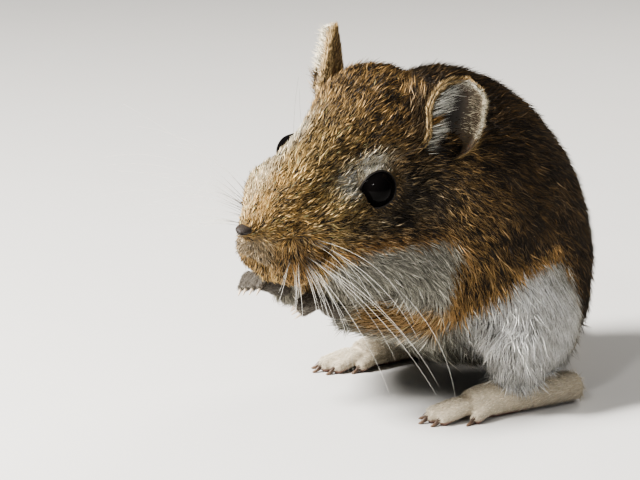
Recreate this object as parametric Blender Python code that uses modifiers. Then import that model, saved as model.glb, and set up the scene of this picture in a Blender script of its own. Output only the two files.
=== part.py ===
"""A life-size still model of a gerbil that crouches on its hind feet with its forepaws held up.

The animal faces -Y, its left side is +X and the floor is Z = 0. Lengths below are millimetres,
turned into metres by MM. The head is laid out in a frame of its own: x to its left, y back from
the tip of the nose, z up. It is then turned and placed by HEAD.
"""

import math

import bmesh
import bpy
import numpy as np
from mathutils import Matrix, Vector
from mathutils.bvhtree import BVHTree

MM = 0.001
GAP = 0.3  # clearance between neighbouring pieces
SIDES = {"left": 1.0, "right": -1.0}

# The trunk: stations from rump to breast as y, lowest z, highest z and half width
TRUNK = (
    (29.6, 13.3, 23.8, 5.0),
    (28.2, 6.8, 31.8, 11.0),
    (24.8, 3.6, 40.1, 16.2),
    (18.8, 3.0, 47.5, 19.8),
    (11.5, 3.6, 52.1, 21.2),
    (3.0, 5.4, 53.3, 18.8),
    (-6.0, 10.5, 48.6, 14.8),
    (-13.0, 15.5, 42.5, 13.4),
    (-19.0, 19.5, 38.8, 11.6),
    (-24.0, 23.3, 33.8, 8.4),
    (-27.0, 25.8, 30.3, 4.6),
)
TRUNK_SQUARE = 2.15  # exponent of the trunk's section, 2 is an ellipse

# The head's place and turn
NOSE_TIP = (13.2, -37.0, 33.2)
HEAD_YAW, HEAD_PITCH, HEAD_ROLL = 21.0, 11.0, 13.0
# Head stations as y from the nose, lowest z, highest z and half width
SKULL = (
    (2.2, -1.5, 0.9, 1.3),
    (3.2, -2.8, 2.0, 2.4),
    (5.2, -4.3, 3.6, 4.1),
    (8.0, -5.6, 5.4, 5.5),
    (11.0, -6.7, 7.4, 6.0),
    (15.0, -7.9, 9.8, 6.1),
    (19.0, -9.0, 12.0, 6.4),
    (24.0, -10.0, 14.2, 8.4),
    (29.0, -10.8, 15.4, 10.8),
    (34.0, -11.2, 15.4, 10.6),
    (39.0, -10.8, 13.6, 9.9),
    (43.0, -8.5, 10.0, 8.0),
)
SKULL_SQUARE = 2.2

# Soft masses of the head in its own frame: centre, radii and XYZ turn, x is for the left one
HEAD_PAIRS = (
    ((2.8, 7.7, -2.4), (2.7, 4.5, 3.8), (0, 0, -20)),  # whisker pads
    ((3.9, 9.6, -6.4), (3.0, 4.8, 4.9), (0, 0, -20)),  # hanging edges of the pads
    ((1.8, 5.0, -4.5), (2.1, 2.5, 1.8), (0, 0, 0)),  # upper lips
    ((6.2, 24.0, -5.2), (6.4, 12.6, 7.2), (0, 0, 6)),  # cheeks
    ((5.6, 16.6, -0.8), (4.9, 7.0, 5.0), (0, 0, 0)),  # in front of the eyes
    ((4.6, 14.6, -3.8), (4.2, 7.2, 4.6), (0, 0, 4)),  # between the pads and the cheeks
    ((5.2, 23.8, 2.8), (3.1, 5.4, 4.6), (0, 0, 6)),  # swell round the eyes
    ((6.4, 31.8, 6.6), (4.0, 3.8, 4.6), (0, 0, 0)),  # footing of the ears
)
HEAD_SINGLES = (
    ((0.0, 3.2, -0.3), (1.8, 1.9, 1.6), (0, 0, 0)),  # nose
    ((0.0, 11.4, -8.6), (3.4, 6.2, 3.2), (8, 0, 0)),  # chin
)
# Soft masses of the body in the animal's frame
BODY_PAIRS = (
    ((14.8, 13.8, 14.8), (8.0, 9.0, 11.2), (0, 0, 0)),  # thighs
)
BODY_SINGLES = (
    ((6.5, -12.0, 27.3), (11.3, 12.5, 11.0), (0, 0, 0)),  # left of the throat
    ((-3.5, -12.0, 28.3), (11.0, 12.0, 10.5), (0, 0, 0)),  # right of the throat
    ((0.5, -4.0, 38.3), (12.5, 13.0, 10.0), (0, 0, 0)),  # nape
)

# Limbs as points from the body outwards and the radius at each
SHANK = (((17.2, 9.8, 14.5), (17.2, 10.2, 9.5), (16.8, 10.2, 5.2)), (6.4, 5.4, 4.0))
UPPER_ARM = (((12.0, -10.5, 27.3), (13.6, -7.0, 21.8), (14.0, -3.6, 16.7)), (6.2, 5.6, 4.5))
FOREARMS = {
    "left": (((14.0, -3.2, 16.5), (12.6, -10.5, 16.9), (10.0, -17.4, 18.1)), (4.2, 3.6, 2.3)),
    "right": (((-14.0, -3.6, 16.5), (-11.0, -12.0, 17.1), (-5.6, -20.0, 18.8)), (4.2, 3.6, 2.3)),
}
FORELIMB_CELL = 1.3  # how much wider than the forearm the cell is that parts it off
WRIST_SHARE = 0.12  # of the forearm's length that the paw takes over

FLESH_SMOOTHING = 5  # rounds over the whole animal
BODY_SMOOTHING = 20  # further rounds on the body
FACE_END, FACE_FADE = 24.0, 16.0  # where the further smoothing starts, and over what length

# Cells that part the flesh into its nodes: centre, radii and XYZ turn
HEAD_CELL = ((0.0, 18.0, 1.5), (17.0, 21.5, 14.5), (0, 0, 0))  # in the head's frame
NECK_CELL = ((3.0, -8.0, 36.3), (24.0, 18.5, 20.5), (0, 0, 0))
THIGH_CELL = ((18.2, 13.6, 16.0), (9.0, 11.6, 13.6), (0, 0, 0))
UPPER_ARM_CELL = ((16.0, -8.0, 20.8), (7.0, 9.5, 9.0), (-20, 0, 0))
SHANK_CELL = (((18.0, 8.4, 11.5), (17.6, 9.6, 7.0), (16.8, 10.4, 1.0)), (8.4, 7.4, 6.4))
JAW_CELL = ((0.0, 12.0, -11.2), (3.6, 7.2, 4.2), (0, 0, 0))  # in the head's frame
PAD_CELL = ((5.2, 8.4, -4.0), (3.6, 4.8, 5.0), (0, 0, -18))  # in the head's frame

EYE_PLACE = (7.9, 22.7, 2.0)  # centre of the left eyeball
EYE_RADIUS = 3.3
EYE_AXIS = (0.78, -0.48, 0.40)  # the way the left eye looks
LID_RADIUS = 3.7  # of the ring that the lids make
LID_THICKNESS = 0.75
LID_FORWARD = 0.9  # of the ring's plane from the eyeball's centre
TEAR_CORNER = ((7.9, 19.4, 0.9), (0.5, 1.3, 0.45))  # the slit in front of the left eye

NOSTRIL = ((1.15, 1.9, -0.5), (0.5, 1.0, 0.42), (0, 0, 32))
PHILTRUM = ((0.0, 1.9, -2.9), (0.28, 1.3, 1.9), (0, 0, 0))

EAR_ROOT = (9.0, 35.4, 2.5)  # foot of the middle line of the left ear's back, inside the head
EAR_UP = (0.19, 0.19, 0.96)
EAR_FACING = (0.66, -0.72, -0.05)  # the way the cup opens
EAR_HEIGHT = 15.2
# Along the ear from 0 to 1: half width, and half the angle that its cup goes round
EAR_SHARES = (0.0, 0.2, 0.42, 0.62, 0.8, 0.92, 1.0)
EAR_WIDTHS = (2.3, 3.3, 4.3, 4.6, 4.0, 2.8, 0.7)
EAR_ANGLES = (140.0, 112.0, 84.0, 66.0, 54.0, 46.0, 40.0)
EAR_LEAN = 1.6  # how far the top leans forward
EAR_FRONT = 0.72  # width of the half in front of the middle line over the one behind it
EAR_WALL = 0.85

# The tail's middle line as x and y, and its radius; from the third place on it lies on the floor
TAIL = ((0.0, 22.5), (0.0, 27.5), (-5.0, 33.0), (-14.0, 38.5), (-27.0, 42.5), (-41.0, 43.0),
        (-54.0, 38.5), (-64.0, 29.5), (-69.5, 18.0))
TAIL_HEIGHTS = (9.0, 6.2, 3.2)
TAIL_RADII = (4.0, 3.7, 3.1, 2.7, 2.5, 2.35, 2.2, 2.1, 1.5)
TAIL_SINK = 0.25  # depth by which its underside is flattened
TAIL_CUTS = (0.34, 0.68)  # shares of its length where it is parted
TUFT_LOCKS = 24
TUFT_LENGTH = (9.5, 14.5)
TUFT_START = 0.80  # share of the tail's length where the tuft begins

# The left foot: its middle line and radii, then each toe as its root, tip and radius
FOOT = (((16.6, 21.6, 2.6), (16.8, 13.5, 3.0), (16.6, 5.8, 2.5), (16.4, 1.9, 2.0)),
        (2.5, 3.1, 3.2, 2.8))
TOES = (
    ((14.5, 5.4, 1.9), (13.2, 0.5, 1.2), 1.15),
    ((15.4, 3.5, 1.9), (14.4, -3.4, 1.2), 1.25),
    ((16.4, 3.1, 2.0), (16.3, -4.7, 1.3), 1.3),
    ((17.5, 3.5, 1.9), (18.2, -3.8, 1.2), 1.25),
    ((18.5, 5.9, 1.8), (20.0, 1.1, 1.1), 1.1),
)
FOOT_STEPS = {"left": 0.0, "right": -1.4}  # how far back each foot stands
CLAW = 3.0  # length of a hind claw
SOLE_SINK = 0.3  # depth by which the soles are flattened

# A forepaw in a frame of its own: x outwards, y back along the forearm, z up the back of the hand
PALM = ((0.0, 0.2, 0.0), (2.3, 2.7, 1.7))
FINGERS = (-1.6, -0.55, 0.55, 1.6)  # places of the fingers' roots across the palm
FINGER_LENGTH = 4.4
FORE_CLAW = 1.7
PAW_PLACES = {"left": (9.9, -18.6, 18.8), "right": (-3.9, -22.8, 20.2)}
PAW_TURNS = {"left": (-14, 10, -18), "right": (-14, -10, 29)}

# Whiskers lie in fans. A whisker is its root on the pad, the angle at which it leaves and the one
# at which it ends, from across towards up, and its length.
FAN_ACROSS = (0.784, 0.618, 0.058)  # in the head's frame
FAN_UP = (-0.355, 0.370, 0.859)
FAN_OUT = {"left": (0.16, -0.22, 0.16), "right": (-0.03, -0.02, 0.0)}
WHISKERS = {
    "left": (
        ((7.6, 8.6, -3.0), -17, -82, 35), ((7.6, 8.2, -3.8), -30, -61, 30),
        ((7.4, 8.8, -4.6), -36, -59, 30), ((7.4, 7.8, -4.6), -46, -70, 26),
        ((7.0, 8.0, -4.4), -50, -86, 21), ((6.8, 7.6, -5.2), -58, -72, 14),
        ((6.4, 8.2, -6.2), -66, -90, 13), ((6.0, 7.0, -6.0), -86, -100, 11),
        ((7.0, 8.8, -5.6), -60, -78, 19), ((6.6, 6.4, -4.6), -76, -96, 15),
        ((5.8, 5.8, -4.8), -98, -112, 9), ((7.6, 7.6, -2.8), -24, -64, 24),
    ),
    "right": (
        ((-5.6, 10.6, -0.4), 124, 176, 21), ((-5.8, 10.4, -0.9), 132, 152, 24),
        ((-6.0, 9.6, -0.9), 136, 194, 24), ((-6.2, 9.2, -1.6), 141, 190, 23),
        ((-6.2, 8.6, -1.4), 144, 184, 18), ((-6.2, 8.4, -2.4), 155, 196, 23),
        ((-6.0, 7.4, -2.0), 165, 184, 15), ((-6.2, 9.6, -2.4), 149, 178, 21),
        ((-5.8, 10.2, -1.8), 128, 142, 15), ((-6.0, 7.8, -3.4), 162, 200, 17),
        ((-5.8, 7.0, -3.0), 174, 206, 13), ((-6.0, 8.6, -4.0), 168, 212, 14),
    ),
}
WHISKER_ROOT, WHISKER_TIP = 0.3, 0.1  # radii
WHISKER_POINTS = 8
# Tried in turn until a whisker is clear: share of the root's distance from the pad's middle, and
# how far the whisker bends towards the normal
WHISKER_TRIES = tuple((spread, outward) for spread in (1.0, 0.7, 0.4) for outward in
                      (0.0, 0.05, 0.1, 0.15, 0.2, 0.3, 0.4))
WHISKER_DEPTH = 1.1  # of the root in the pad
WHISKER_ROOM = 0.42  # from the other nodes
CLEARANCE_STEPS = 6  # places looked at on each length of a whisker

FLESH_VOXEL = 0.85
FLESH_TRIANGLES = 7000
NODE_TRIANGLES = {"head": 2600, "neck": 900, "torso": 2100, "lower_jaw": 300}
LIMB_TRIANGLES = 300
PAD_TRIANGLES = 180
WELD = 1.2e-6  # in metres
SLIVER = 1e-10  # the area in square metres of a needle of a face
MENDING_ROUNDS = 3


def scaled(values):
    """The values in metres."""
    return tuple(v * MM for v in values)


def head_matrix():
    """Head frame to the animal's frame, in metres."""
    turn = (
        Matrix.Rotation(math.radians(HEAD_YAW), 4, "Z")
        @ Matrix.Rotation(math.radians(HEAD_PITCH), 4, "X")
        @ Matrix.Rotation(math.radians(HEAD_ROLL), 4, "Y")
    )
    return Matrix.Translation(scaled(NOSE_TIP)) @ turn


HEAD = head_matrix()


def mirrored(point, side):
    """A left point on the named side, in millimetres."""
    return Vector((point[0] * SIDES[side], point[1], point[2]))


def smooth_line(points, count):
    """Points along a Catmull-Rom curve through the given rows of numbers."""
    rows = np.array(points, float)
    padded = np.vstack([2 * rows[0] - rows[1], rows, 2 * rows[-1] - rows[-2]])
    places = np.linspace(0, len(rows) - 1, count)
    i = np.minimum(places.astype(int), len(rows) - 2)
    t = (places - i)[:, None]
    a, b, c, d = padded[i], padded[i + 1], padded[i + 2], padded[i + 3]
    return 0.5 * (2 * b + (c - a) * t + (2 * a - 5 * b + 4 * c - d) * t**2
                  + (3 * b - a - 3 * c + d) * t**3)


def new_object(name, mesh):
    obj = bpy.data.objects.new(name, mesh)
    bpy.context.scene.collection.objects.link(obj)
    return obj


def mesh_object(name, bm, matrix=None):
    """An object of a bmesh, with its faces turned outwards."""
    if matrix is not None:
        bm.transform(matrix)
    bmesh.ops.recalc_face_normals(bm, faces=bm.faces)
    mesh = bpy.data.meshes.new(name)
    bm.to_mesh(mesh)
    bm.free()
    return new_object(name, mesh)


def ellipsoid(name, centre, radii, turn=(0, 0, 0), matrix=None, detail=3):
    """A ball stretched to three radii, turned by XYZ degrees."""
    bm = bmesh.new()
    bmesh.ops.create_icosphere(bm, subdivisions=detail, radius=1.0)
    stretch = Matrix.Diagonal((*scaled(radii), 1.0))
    x, y, z = (Matrix.Rotation(math.radians(a), 4, axis) for a, axis in zip(turn, "XYZ"))
    bm.transform(Matrix.Translation(scaled(centre)) @ z @ y @ x @ stretch)
    return mesh_object(name, bm, matrix)


def loft(name, rings, matrix=None):
    """A closed skin over rings of equal count, each end closed by a fan. Points in millimetres."""
    bm = bmesh.new()
    rows = [[bm.verts.new(scaled(p)) for p in ring] for ring in rings]
    for near, far in zip(rows, rows[1:]):
        for i in range(len(near)):
            j = (i + 1) % len(near)
            bm.faces.new((near[i], near[j], far[j], far[i]))
    for ring, row in ((rings[0], rows[0]), (rings[-1], rows[-1])):
        middle = bm.verts.new(scaled(np.mean(ring, axis=0)))
        for i in range(len(row)):
            bm.faces.new((row[i], row[(i + 1) % len(row)], middle))
    return mesh_object(name, bm, matrix)


def section_rings(stations, square, count, points):
    """Rings across Y from stations of y, lowest z, highest z and half width."""
    angles = np.linspace(0, 2 * math.pi, points, endpoint=False)
    across = np.sign(np.cos(angles)) * np.abs(np.cos(angles)) ** (2 / square)
    upward = np.sign(np.sin(angles)) * np.abs(np.sin(angles)) ** (2 / square)
    rings = []
    for y, low, high, half in smooth_line(stations, count):
        middle = (low + high) / 2
        rings.append(np.stack([across * half, np.full(points, y),
                               middle + upward * (high - low) / 2], axis=1))
    return rings


def limb(name, points, radii, count=12, resolution=3):
    """A rounded limb: a curve through the points whose radius follows the radii."""
    line = smooth_line([(*p, r) for p, r in zip(points, radii)], count)
    curve = bpy.data.curves.new(name, "CURVE")
    curve.dimensions = "3D"
    curve.bevel_depth = 1.0
    curve.bevel_resolution = resolution
    curve.use_fill_caps = True
    spline = curve.splines.new("POLY")
    spline.points.add(len(line) - 1)
    for knot, (x, y, z, r) in zip(spline.points, line):
        knot.co = (*scaled((x, y, z)), 1.0)
        knot.radius = r * MM
    holder = new_object(name, curve)
    return as_mesh(holder)


def evaluated_mesh(obj):
    """The object's mesh with its modifiers applied."""
    graph = bpy.context.evaluated_depsgraph_get()
    return bpy.data.meshes.new_from_object(obj.evaluated_get(graph), depsgraph=graph)


def as_mesh(holder):
    """A curve object turned into a mesh object of the same name, its caps welded."""
    bpy.context.view_layer.update()
    mesh = evaluated_mesh(holder)
    bm = bmesh.new()
    bm.from_mesh(mesh)
    bmesh.ops.remove_doubles(bm, verts=bm.verts, dist=1e-6)
    bmesh.ops.recalc_face_normals(bm, faces=bm.faces)
    bm.to_mesh(mesh)
    bm.free()
    name, place = holder.name, holder.matrix_world.copy()
    bpy.data.objects.remove(holder)
    obj = new_object(name, mesh)
    obj.matrix_world = place
    return obj


def applied(obj):
    """The object with its modifiers applied to its mesh."""
    bpy.context.view_layer.update()
    mesh = evaluated_mesh(obj)
    obj.modifiers.clear()
    obj.data = mesh
    return obj


def boolean(obj, other, operation, solver="MANIFOLD"):
    """Cuts or joins obj with other, which is removed."""
    modifier = obj.modifiers.new(operation.title(), "BOOLEAN")
    modifier.operation = operation
    modifier.solver = solver
    modifier.object = other
    applied(obj)
    bpy.data.objects.remove(other)
    return obj


def copied(obj, name, grow=0.0):
    """A copy of a mesh object, its surface moved out by grow millimetres."""
    copy = new_object(name, obj.data.copy())
    copy.matrix_world = obj.matrix_world
    if grow:
        swell = copy.modifiers.new("Swell", "DISPLACE")
        swell.mid_level = 0.0
        swell.strength = grow * MM
        applied(copy)
    return copy


def joined(name, pieces):
    """One mesh object that holds all the pieces, still overlapping."""
    bm = bmesh.new()
    for piece in pieces:
        part = piece.data.copy()
        part.transform(piece.matrix_world)
        bm.from_mesh(part)
        bpy.data.objects.remove(piece)
    mesh = bpy.data.meshes.new(name)
    bm.to_mesh(mesh)
    bm.free()
    return new_object(name, mesh)


def fused(name, pieces, solver="MANIFOLD"):
    """One closed body: a Boolean union of the pieces, which are removed."""
    first, others = pieces[0], pieces[1:]
    group = bpy.data.collections.new(name + "_pieces")
    bpy.context.scene.collection.children.link(group)
    for piece in others:
        group.objects.link(piece)
    union = first.modifiers.new("Union", "BOOLEAN")
    union.operation = "UNION"
    union.solver = solver
    union.operand_type = "COLLECTION"
    union.collection = group
    applied(first)
    for piece in others:
        bpy.data.objects.remove(piece)
    bpy.data.collections.remove(group)
    first.name = name
    return largest_body(first)


def weld(bm):
    """Joins points that all but touch and takes out the flat fins that this can leave."""
    bmesh.ops.triangulate(bm, faces=bm.faces)
    bmesh.ops.remove_doubles(bm, verts=bm.verts, dist=WELD)
    for _ in range(MENDING_ROUNDS):
        corners = {}
        for face in bm.faces:
            corners.setdefault(frozenset(face.verts), []).append(face)
        fins = [face for faces in corners.values() if len(faces) > 1 for face in faces]
        crowded = {face for edge in bm.edges if len(edge.link_faces) > 2
                   for face in edge.link_faces if face.calc_area() < SLIVER}
        bmesh.ops.delete(bm, geom=list(crowded.union(fins)), context="FACES")
        loose = [vert for vert in bm.verts if not vert.link_faces]
        bmesh.ops.delete(bm, geom=loose, context="VERTS")
        gaps = [edge for edge in bm.edges if edge.is_boundary]
        if not gaps:
            break
        bmesh.ops.holes_fill(bm, edges=gaps, sides=0)
        bmesh.ops.triangulate(bm, faces=bm.faces)


def largest_body(obj):
    """The object with only its largest closed surface, by the room its points take up."""
    bm = bmesh.new()
    bm.from_mesh(obj.data)
    weld(bm)
    bodies, seen = [], set()
    for start in bm.verts:
        if start in seen:
            continue
        seen.add(start)
        body, front = [start], [start]
        while front:
            vert = front.pop()
            for edge in vert.link_edges:
                other = edge.other_vert(vert)
                if other not in seen:
                    seen.add(other)
                    body.append(other)
                    front.append(other)
        bodies.append(body)
    kept = set(max(bodies, key=lambda body: np.ptp([v.co for v in body], axis=0).sum()))
    bmesh.ops.delete(bm, geom=[v for v in bm.verts if v not in kept], context="VERTS")
    bm.to_mesh(obj.data)
    bm.free()
    return obj


def build_flesh():
    """The whole animal but its ears, eyes, feet and tail as one smooth closed body."""
    pieces = [
        loft("trunk", section_rings(TRUNK, TRUNK_SQUARE, 40, 48)),
        loft("skull", section_rings(SKULL, SKULL_SQUARE, 48, 40), HEAD),
    ]
    for centre, radii, turn in HEAD_SINGLES:
        pieces.append(ellipsoid("mass", centre, radii, turn, HEAD))
    for centre, radii, turn in BODY_SINGLES:
        pieces.append(ellipsoid("mass", centre, radii, turn))
    for side in SIDES:
        sign = SIDES[side]
        for centre, radii, turn in HEAD_PAIRS:
            pieces.append(ellipsoid("mass", mirrored(centre, side), radii,
                                    (turn[0], turn[1] * sign, turn[2] * sign), HEAD))
        for centre, radii, turn in BODY_PAIRS:
            pieces.append(ellipsoid("mass", mirrored(centre, side), radii, turn))
        for points, radii in (SHANK, UPPER_ARM):
            pieces.append(limb("limb", [mirrored(p, side) for p in points], radii))
        pieces.append(limb("limb", *FOREARMS[side]))
    flesh = joined("flesh", pieces)
    shrinkwrap = flesh.modifiers.new("Skin", "REMESH")
    shrinkwrap.mode = "VOXEL"
    shrinkwrap.voxel_size = FLESH_VOXEL * MM
    applied(flesh)
    soften(flesh)
    return flesh


def face_weight(point):
    """0 on the face and 1 on the body, for a point of the animal's frame in metres."""
    back = (HEAD.inverted() @ point).y / MM
    return min(1.0, max(0.0, (back - FACE_END) / FACE_FADE))


def soften(flesh):
    """Melts the creases between the masses, more on the body than on the face."""
    group = flesh.vertex_groups.new(name="body")
    for vert in flesh.data.vertices:
        group.add([vert.index], face_weight(vert.co), "REPLACE")
    for name, rounds, where in (("All", FLESH_SMOOTHING, ""), ("Body", BODY_SMOOTHING, "body")):
        smooth = flesh.modifiers.new(name, "SMOOTH")
        smooth.factor = 0.5
        smooth.iterations = rounds
        smooth.vertex_group = where
    applied(flesh)
    flesh.vertex_groups.clear()


def thinned(obj, triangles):
    """The object with about that many triangles, or with more where it would not stay closed."""
    count = sum(len(p.vertices) - 2 for p in obj.data.polygons)
    whole, share = obj.data, triangles / count
    while share < 1.0:
        obj.data = whole
        thin = obj.modifiers.new("Thin", "DECIMATE")
        thin.ratio = share
        applied(obj)
        if is_closed(obj):
            return obj
        share *= 1.07
    obj.data = whole
    return obj


def is_closed(obj):
    """Whether every edge of the object joins two faces."""
    bm = bmesh.new()
    bm.from_mesh(obj.data)
    bmesh.ops.remove_doubles(bm, verts=bm.verts, dist=WELD)
    closed = all(edge.is_manifold for edge in bm.edges)
    bm.free()
    return closed


def apart(body, cell, name):
    """Parts off what lies in the cell as a node of its own and leaves a gap round it."""
    grown = copied(cell, "grown", GAP)
    piece = copied(body, name)
    boolean(piece, cell, "INTERSECT")
    largest_body(piece)
    boolean(body, grown, "DIFFERENCE")
    largest_body(body)
    return piece


def cleared(bodies, other):
    """Cuts room for the other node out of each body that its box meets."""
    for body in bodies:
        if boxes_meet(body, other):
            boolean(body, copied(other, "room", GAP), "DIFFERENCE")
            largest_body(body)


def box_of(obj):
    points = np.array([obj.matrix_world @ v.co for v in obj.data.vertices])
    return points.min(axis=0), points.max(axis=0)


def boxes_meet(one, other):
    """Whether the boxes of two objects come within the gap."""
    (low, high), (other_low, other_high) = box_of(one), box_of(other)
    reach = GAP * MM
    return bool(np.all(low - reach < other_high) and np.all(other_low - reach < high))


def cut_at_floor(obj, level=0.0):
    """Takes off what lies under the level."""
    bm = bmesh.new()
    bmesh.ops.create_cube(bm, size=1.0)
    bm.transform(Matrix.Translation((0, 0, level * MM - 0.5)))
    boolean(obj, mesh_object("floor", bm), "DIFFERENCE")
    return largest_body(obj)


def spike(name, line, radius, tip, sides=3):
    """A thin tapered closed body along the line's points, all in millimetres."""
    line = np.array(line, float)
    ahead = np.gradient(line, axis=0)
    ahead /= np.linalg.norm(ahead, axis=1)[:, None]
    across = np.cross(ahead, (0.31, 0.2, 0.93))
    across /= np.linalg.norm(across, axis=1)[:, None]
    upward = np.cross(ahead, across)
    angles = np.linspace(0, 2 * math.pi, sides, endpoint=False)
    widths = radius + (tip - radius) * np.linspace(0, 1, len(line)) ** 1.4
    rings = [p + w * (np.outer(np.cos(angles), a) + np.outer(np.sin(angles), u))
             for p, w, a, u in zip(line, widths, across, upward)]
    return loft(name, rings)


def bowed_line(start, direction, length, sag, count=5):
    """Points from the start along the direction that bend towards the sag vector."""
    steps = np.linspace(0, 1, count)[:, None]
    way = np.array(direction, float)
    way /= np.linalg.norm(way)
    return np.array(start, float) + way * steps * length + np.array(sag, float) * steps**2


def claw(root, tip, radius, length):
    """A claw that carries on from a toe, bent down at its end."""
    way = Vector(tip) - Vector(root)
    return spike("claw", bowed_line(tip, way, length, (0, 0, -0.22 * length), 4),
                 radius * 0.62, 0.16, 4)


def build_foot(side):
    """A long narrow hind foot with five toes and claws, its sole flat on the floor."""
    points, radii = FOOT
    pieces = [limb("foot", [mirrored(p, side) for p in points], radii, 8, 2)]
    for root, tip, radius in TOES:
        root, tip = mirrored(root, side), mirrored(tip, side)
        middle = (root + tip) / 2 + Vector((0, 0, 0.5))
        pieces.append(limb("toe", (root, middle, tip), (radius * 1.1, radius, radius * 0.85), 5, 1))
        pieces.append(claw(middle, tip, radius, CLAW))
    foot = fused(side + "_hind_foot", pieces)
    foot.data.transform(Matrix.Translation(scaled((0, FOOT_STEPS[side], -SOLE_SINK))))
    return cut_at_floor(foot)


def paw_matrix(side):
    """Frame of a forepaw to the animal's frame, in metres."""
    x, y, z = (Matrix.Rotation(math.radians(a), 4, n) for a, n in zip(PAW_TURNS[side], "XYZ"))
    return Matrix.Translation(scaled(PAW_PLACES[side])) @ z @ y @ x


def build_forepaw(side):
    """A small hand with four fingers that bend down round what it held."""
    centre, radii = PALM
    pieces = [ellipsoid("palm", centre, radii, detail=2)]
    pieces.append(limb("wrist", ((0, 3.4, -0.4), (0, 1.8, -0.2), (0, 0.4, 0.0)), (1.9, 1.9, 1.7), 4, 1))
    for across in FINGERS:
        reach = FINGER_LENGTH * (1.0 - 0.07 * abs(across))
        knuckle = Vector((across * 1.25, -1.4 - reach * 0.45, 0.9))
        tip = Vector((across * 1.15, -1.2 - reach, -0.9))
        pieces.append(limb("finger", ((across, -0.6, 0.3), knuckle, tip), (0.85, 0.8, 0.62), 5, 1))
        pieces.append(claw(knuckle, tip, 0.75, FORE_CLAW))
    paw = fused(side + "_forepaw", pieces)
    paw.data.transform(paw_matrix(side))
    return paw


def build_ear(side):
    """A thin cup that stands on the side of the head, rolled up at its foot."""
    up, facing = Vector(EAR_UP).normalized(), Vector(EAR_FACING)
    facing = (facing - up * facing.dot(up)).normalized()
    sideways = up.cross(facing)
    bm = bmesh.new()
    rows = []
    for share in np.linspace(0, 1, 12) ** 0.85:
        width = float(np.interp(share, EAR_SHARES, EAR_WIDTHS))
        angle = math.radians(float(np.interp(share, EAR_SHARES, EAR_ANGLES)))
        radius = width / math.sin(min(angle, math.pi / 2))
        row = []
        for turn in np.linspace(-angle, angle, 11):
            forward = radius * (1 - math.cos(turn)) + EAR_LEAN * share**2
            point = (Vector(EAR_ROOT) + up * (EAR_HEIGHT * share)
                     + sideways * (radius * math.sin(turn) * (EAR_FRONT if turn < 0 else 1.0))
                     + facing * forward)
            row.append(bm.verts.new(scaled(mirrored(point, side))))
        rows.append(row)
    for near, far in zip(rows, rows[1:]):
        for i in range(len(near) - 1):
            bm.faces.new((near[i], near[i + 1], far[i + 1], far[i]))
    ear = mesh_object(side + "_ear", bm, HEAD)
    wall = ear.modifiers.new("Wall", "SOLIDIFY")
    wall.thickness = EAR_WALL * MM
    wall.offset = 0.0
    wall.use_even_offset = True
    return applied(ear)


def build_eye(side):
    bm = bmesh.new()
    bmesh.ops.create_uvsphere(bm, u_segments=20, v_segments=12, radius=EYE_RADIUS * MM)
    bm.transform(Matrix.Translation(scaled(mirrored(EYE_PLACE, side))))
    return mesh_object(side + "_eye", bm, HEAD)


def lid_ring(side):
    """The raised rim of both lids round an eye, in the animal's frame."""
    axis = mirrored(EYE_AXIS, side).normalized()
    centre = mirrored(EYE_PLACE, side) + axis * LID_FORWARD
    one = axis.orthogonal().normalized()
    other = axis.cross(one)
    bm = bmesh.new()
    rows = []
    for around in np.linspace(0, 2 * math.pi, 28, endpoint=False):
        out = one * math.cos(around) + other * math.sin(around)
        row = []
        for turn in np.linspace(0, 2 * math.pi, 8, endpoint=False):
            point = (centre + out * (LID_RADIUS + LID_THICKNESS * math.cos(turn))
                     + axis * (LID_THICKNESS * math.sin(turn)))
            row.append(bm.verts.new(scaled(point)))
        rows.append(row)
    for i, row in enumerate(rows):
        following = rows[(i + 1) % len(rows)]
        for j in range(len(row)):
            k = (j + 1) % len(row)
            bm.faces.new((row[j], row[k], following[k], following[j]))
    return mesh_object("lids", bm, HEAD)


def detail_head(head):
    """Adds the lids and cuts the sockets, the tear corners, the nostrils and the upper lip."""
    fused("head", [head] + [lid_ring(side) for side in SIDES])
    for side in SIDES:
        sign = SIDES[side]
        boolean(head, ellipsoid("socket", mirrored(EYE_PLACE, side), (EYE_RADIUS + GAP,) * 3,
                                matrix=HEAD), "DIFFERENCE")
        centre, radii = TEAR_CORNER
        boolean(head, ellipsoid("corner", mirrored(centre, side), radii, (0, 0, -18 * sign), HEAD, 2),
                "DIFFERENCE")
        centre, radii, turn = NOSTRIL
        boolean(head, ellipsoid("nostril", mirrored(centre, side), radii, (0, 0, turn[2] * sign),
                                HEAD, 2), "DIFFERENCE")
    boolean(head, ellipsoid("philtrum", *PHILTRUM, HEAD, 2), "DIFFERENCE")
    return largest_body(head)


def tail_line(count):
    """Rows of x, y, z and radius along the tail."""
    rows = []
    for i, ((x, y), radius) in enumerate(zip(TAIL, TAIL_RADII)):
        height = TAIL_HEIGHTS[i] if i < len(TAIL_HEIGHTS) else radius - TAIL_SINK
        rows.append((x, y, height, radius))
    return smooth_line(rows, count)


def build_tail():
    """The tail's three lengths; the last one carries the tuft."""
    line = tail_line(120)
    ends = [0] + [int(c * len(line)) for c in TAIL_CUTS] + [len(line) - 1]
    pieces = []
    for i, name in enumerate(("tail_base", "tail_middle", "tail_tip")):
        rows = line[ends[i]:ends[i + 1] + 1].copy()
        ahead = rows[1, :3] - rows[0, :3]
        behind = rows[-2, :3] - rows[-1, :3]
        if i > 0:
            rows[0, :3] += ahead / np.linalg.norm(ahead) * GAP / 2
        if i < 2:
            rows[-1, :3] += behind / np.linalg.norm(behind) * GAP / 2
        rows = rows[np.unique(np.linspace(0, len(rows) - 1, 14).astype(int))]
        pieces.append(limb(name, rows[:, :3], rows[:, 3], len(rows), 2))
    pieces[2] = fused("tail_tip", [pieces[2]] + tuft_locks(line))
    return [cut_at_floor(piece) for piece in pieces]


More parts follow.
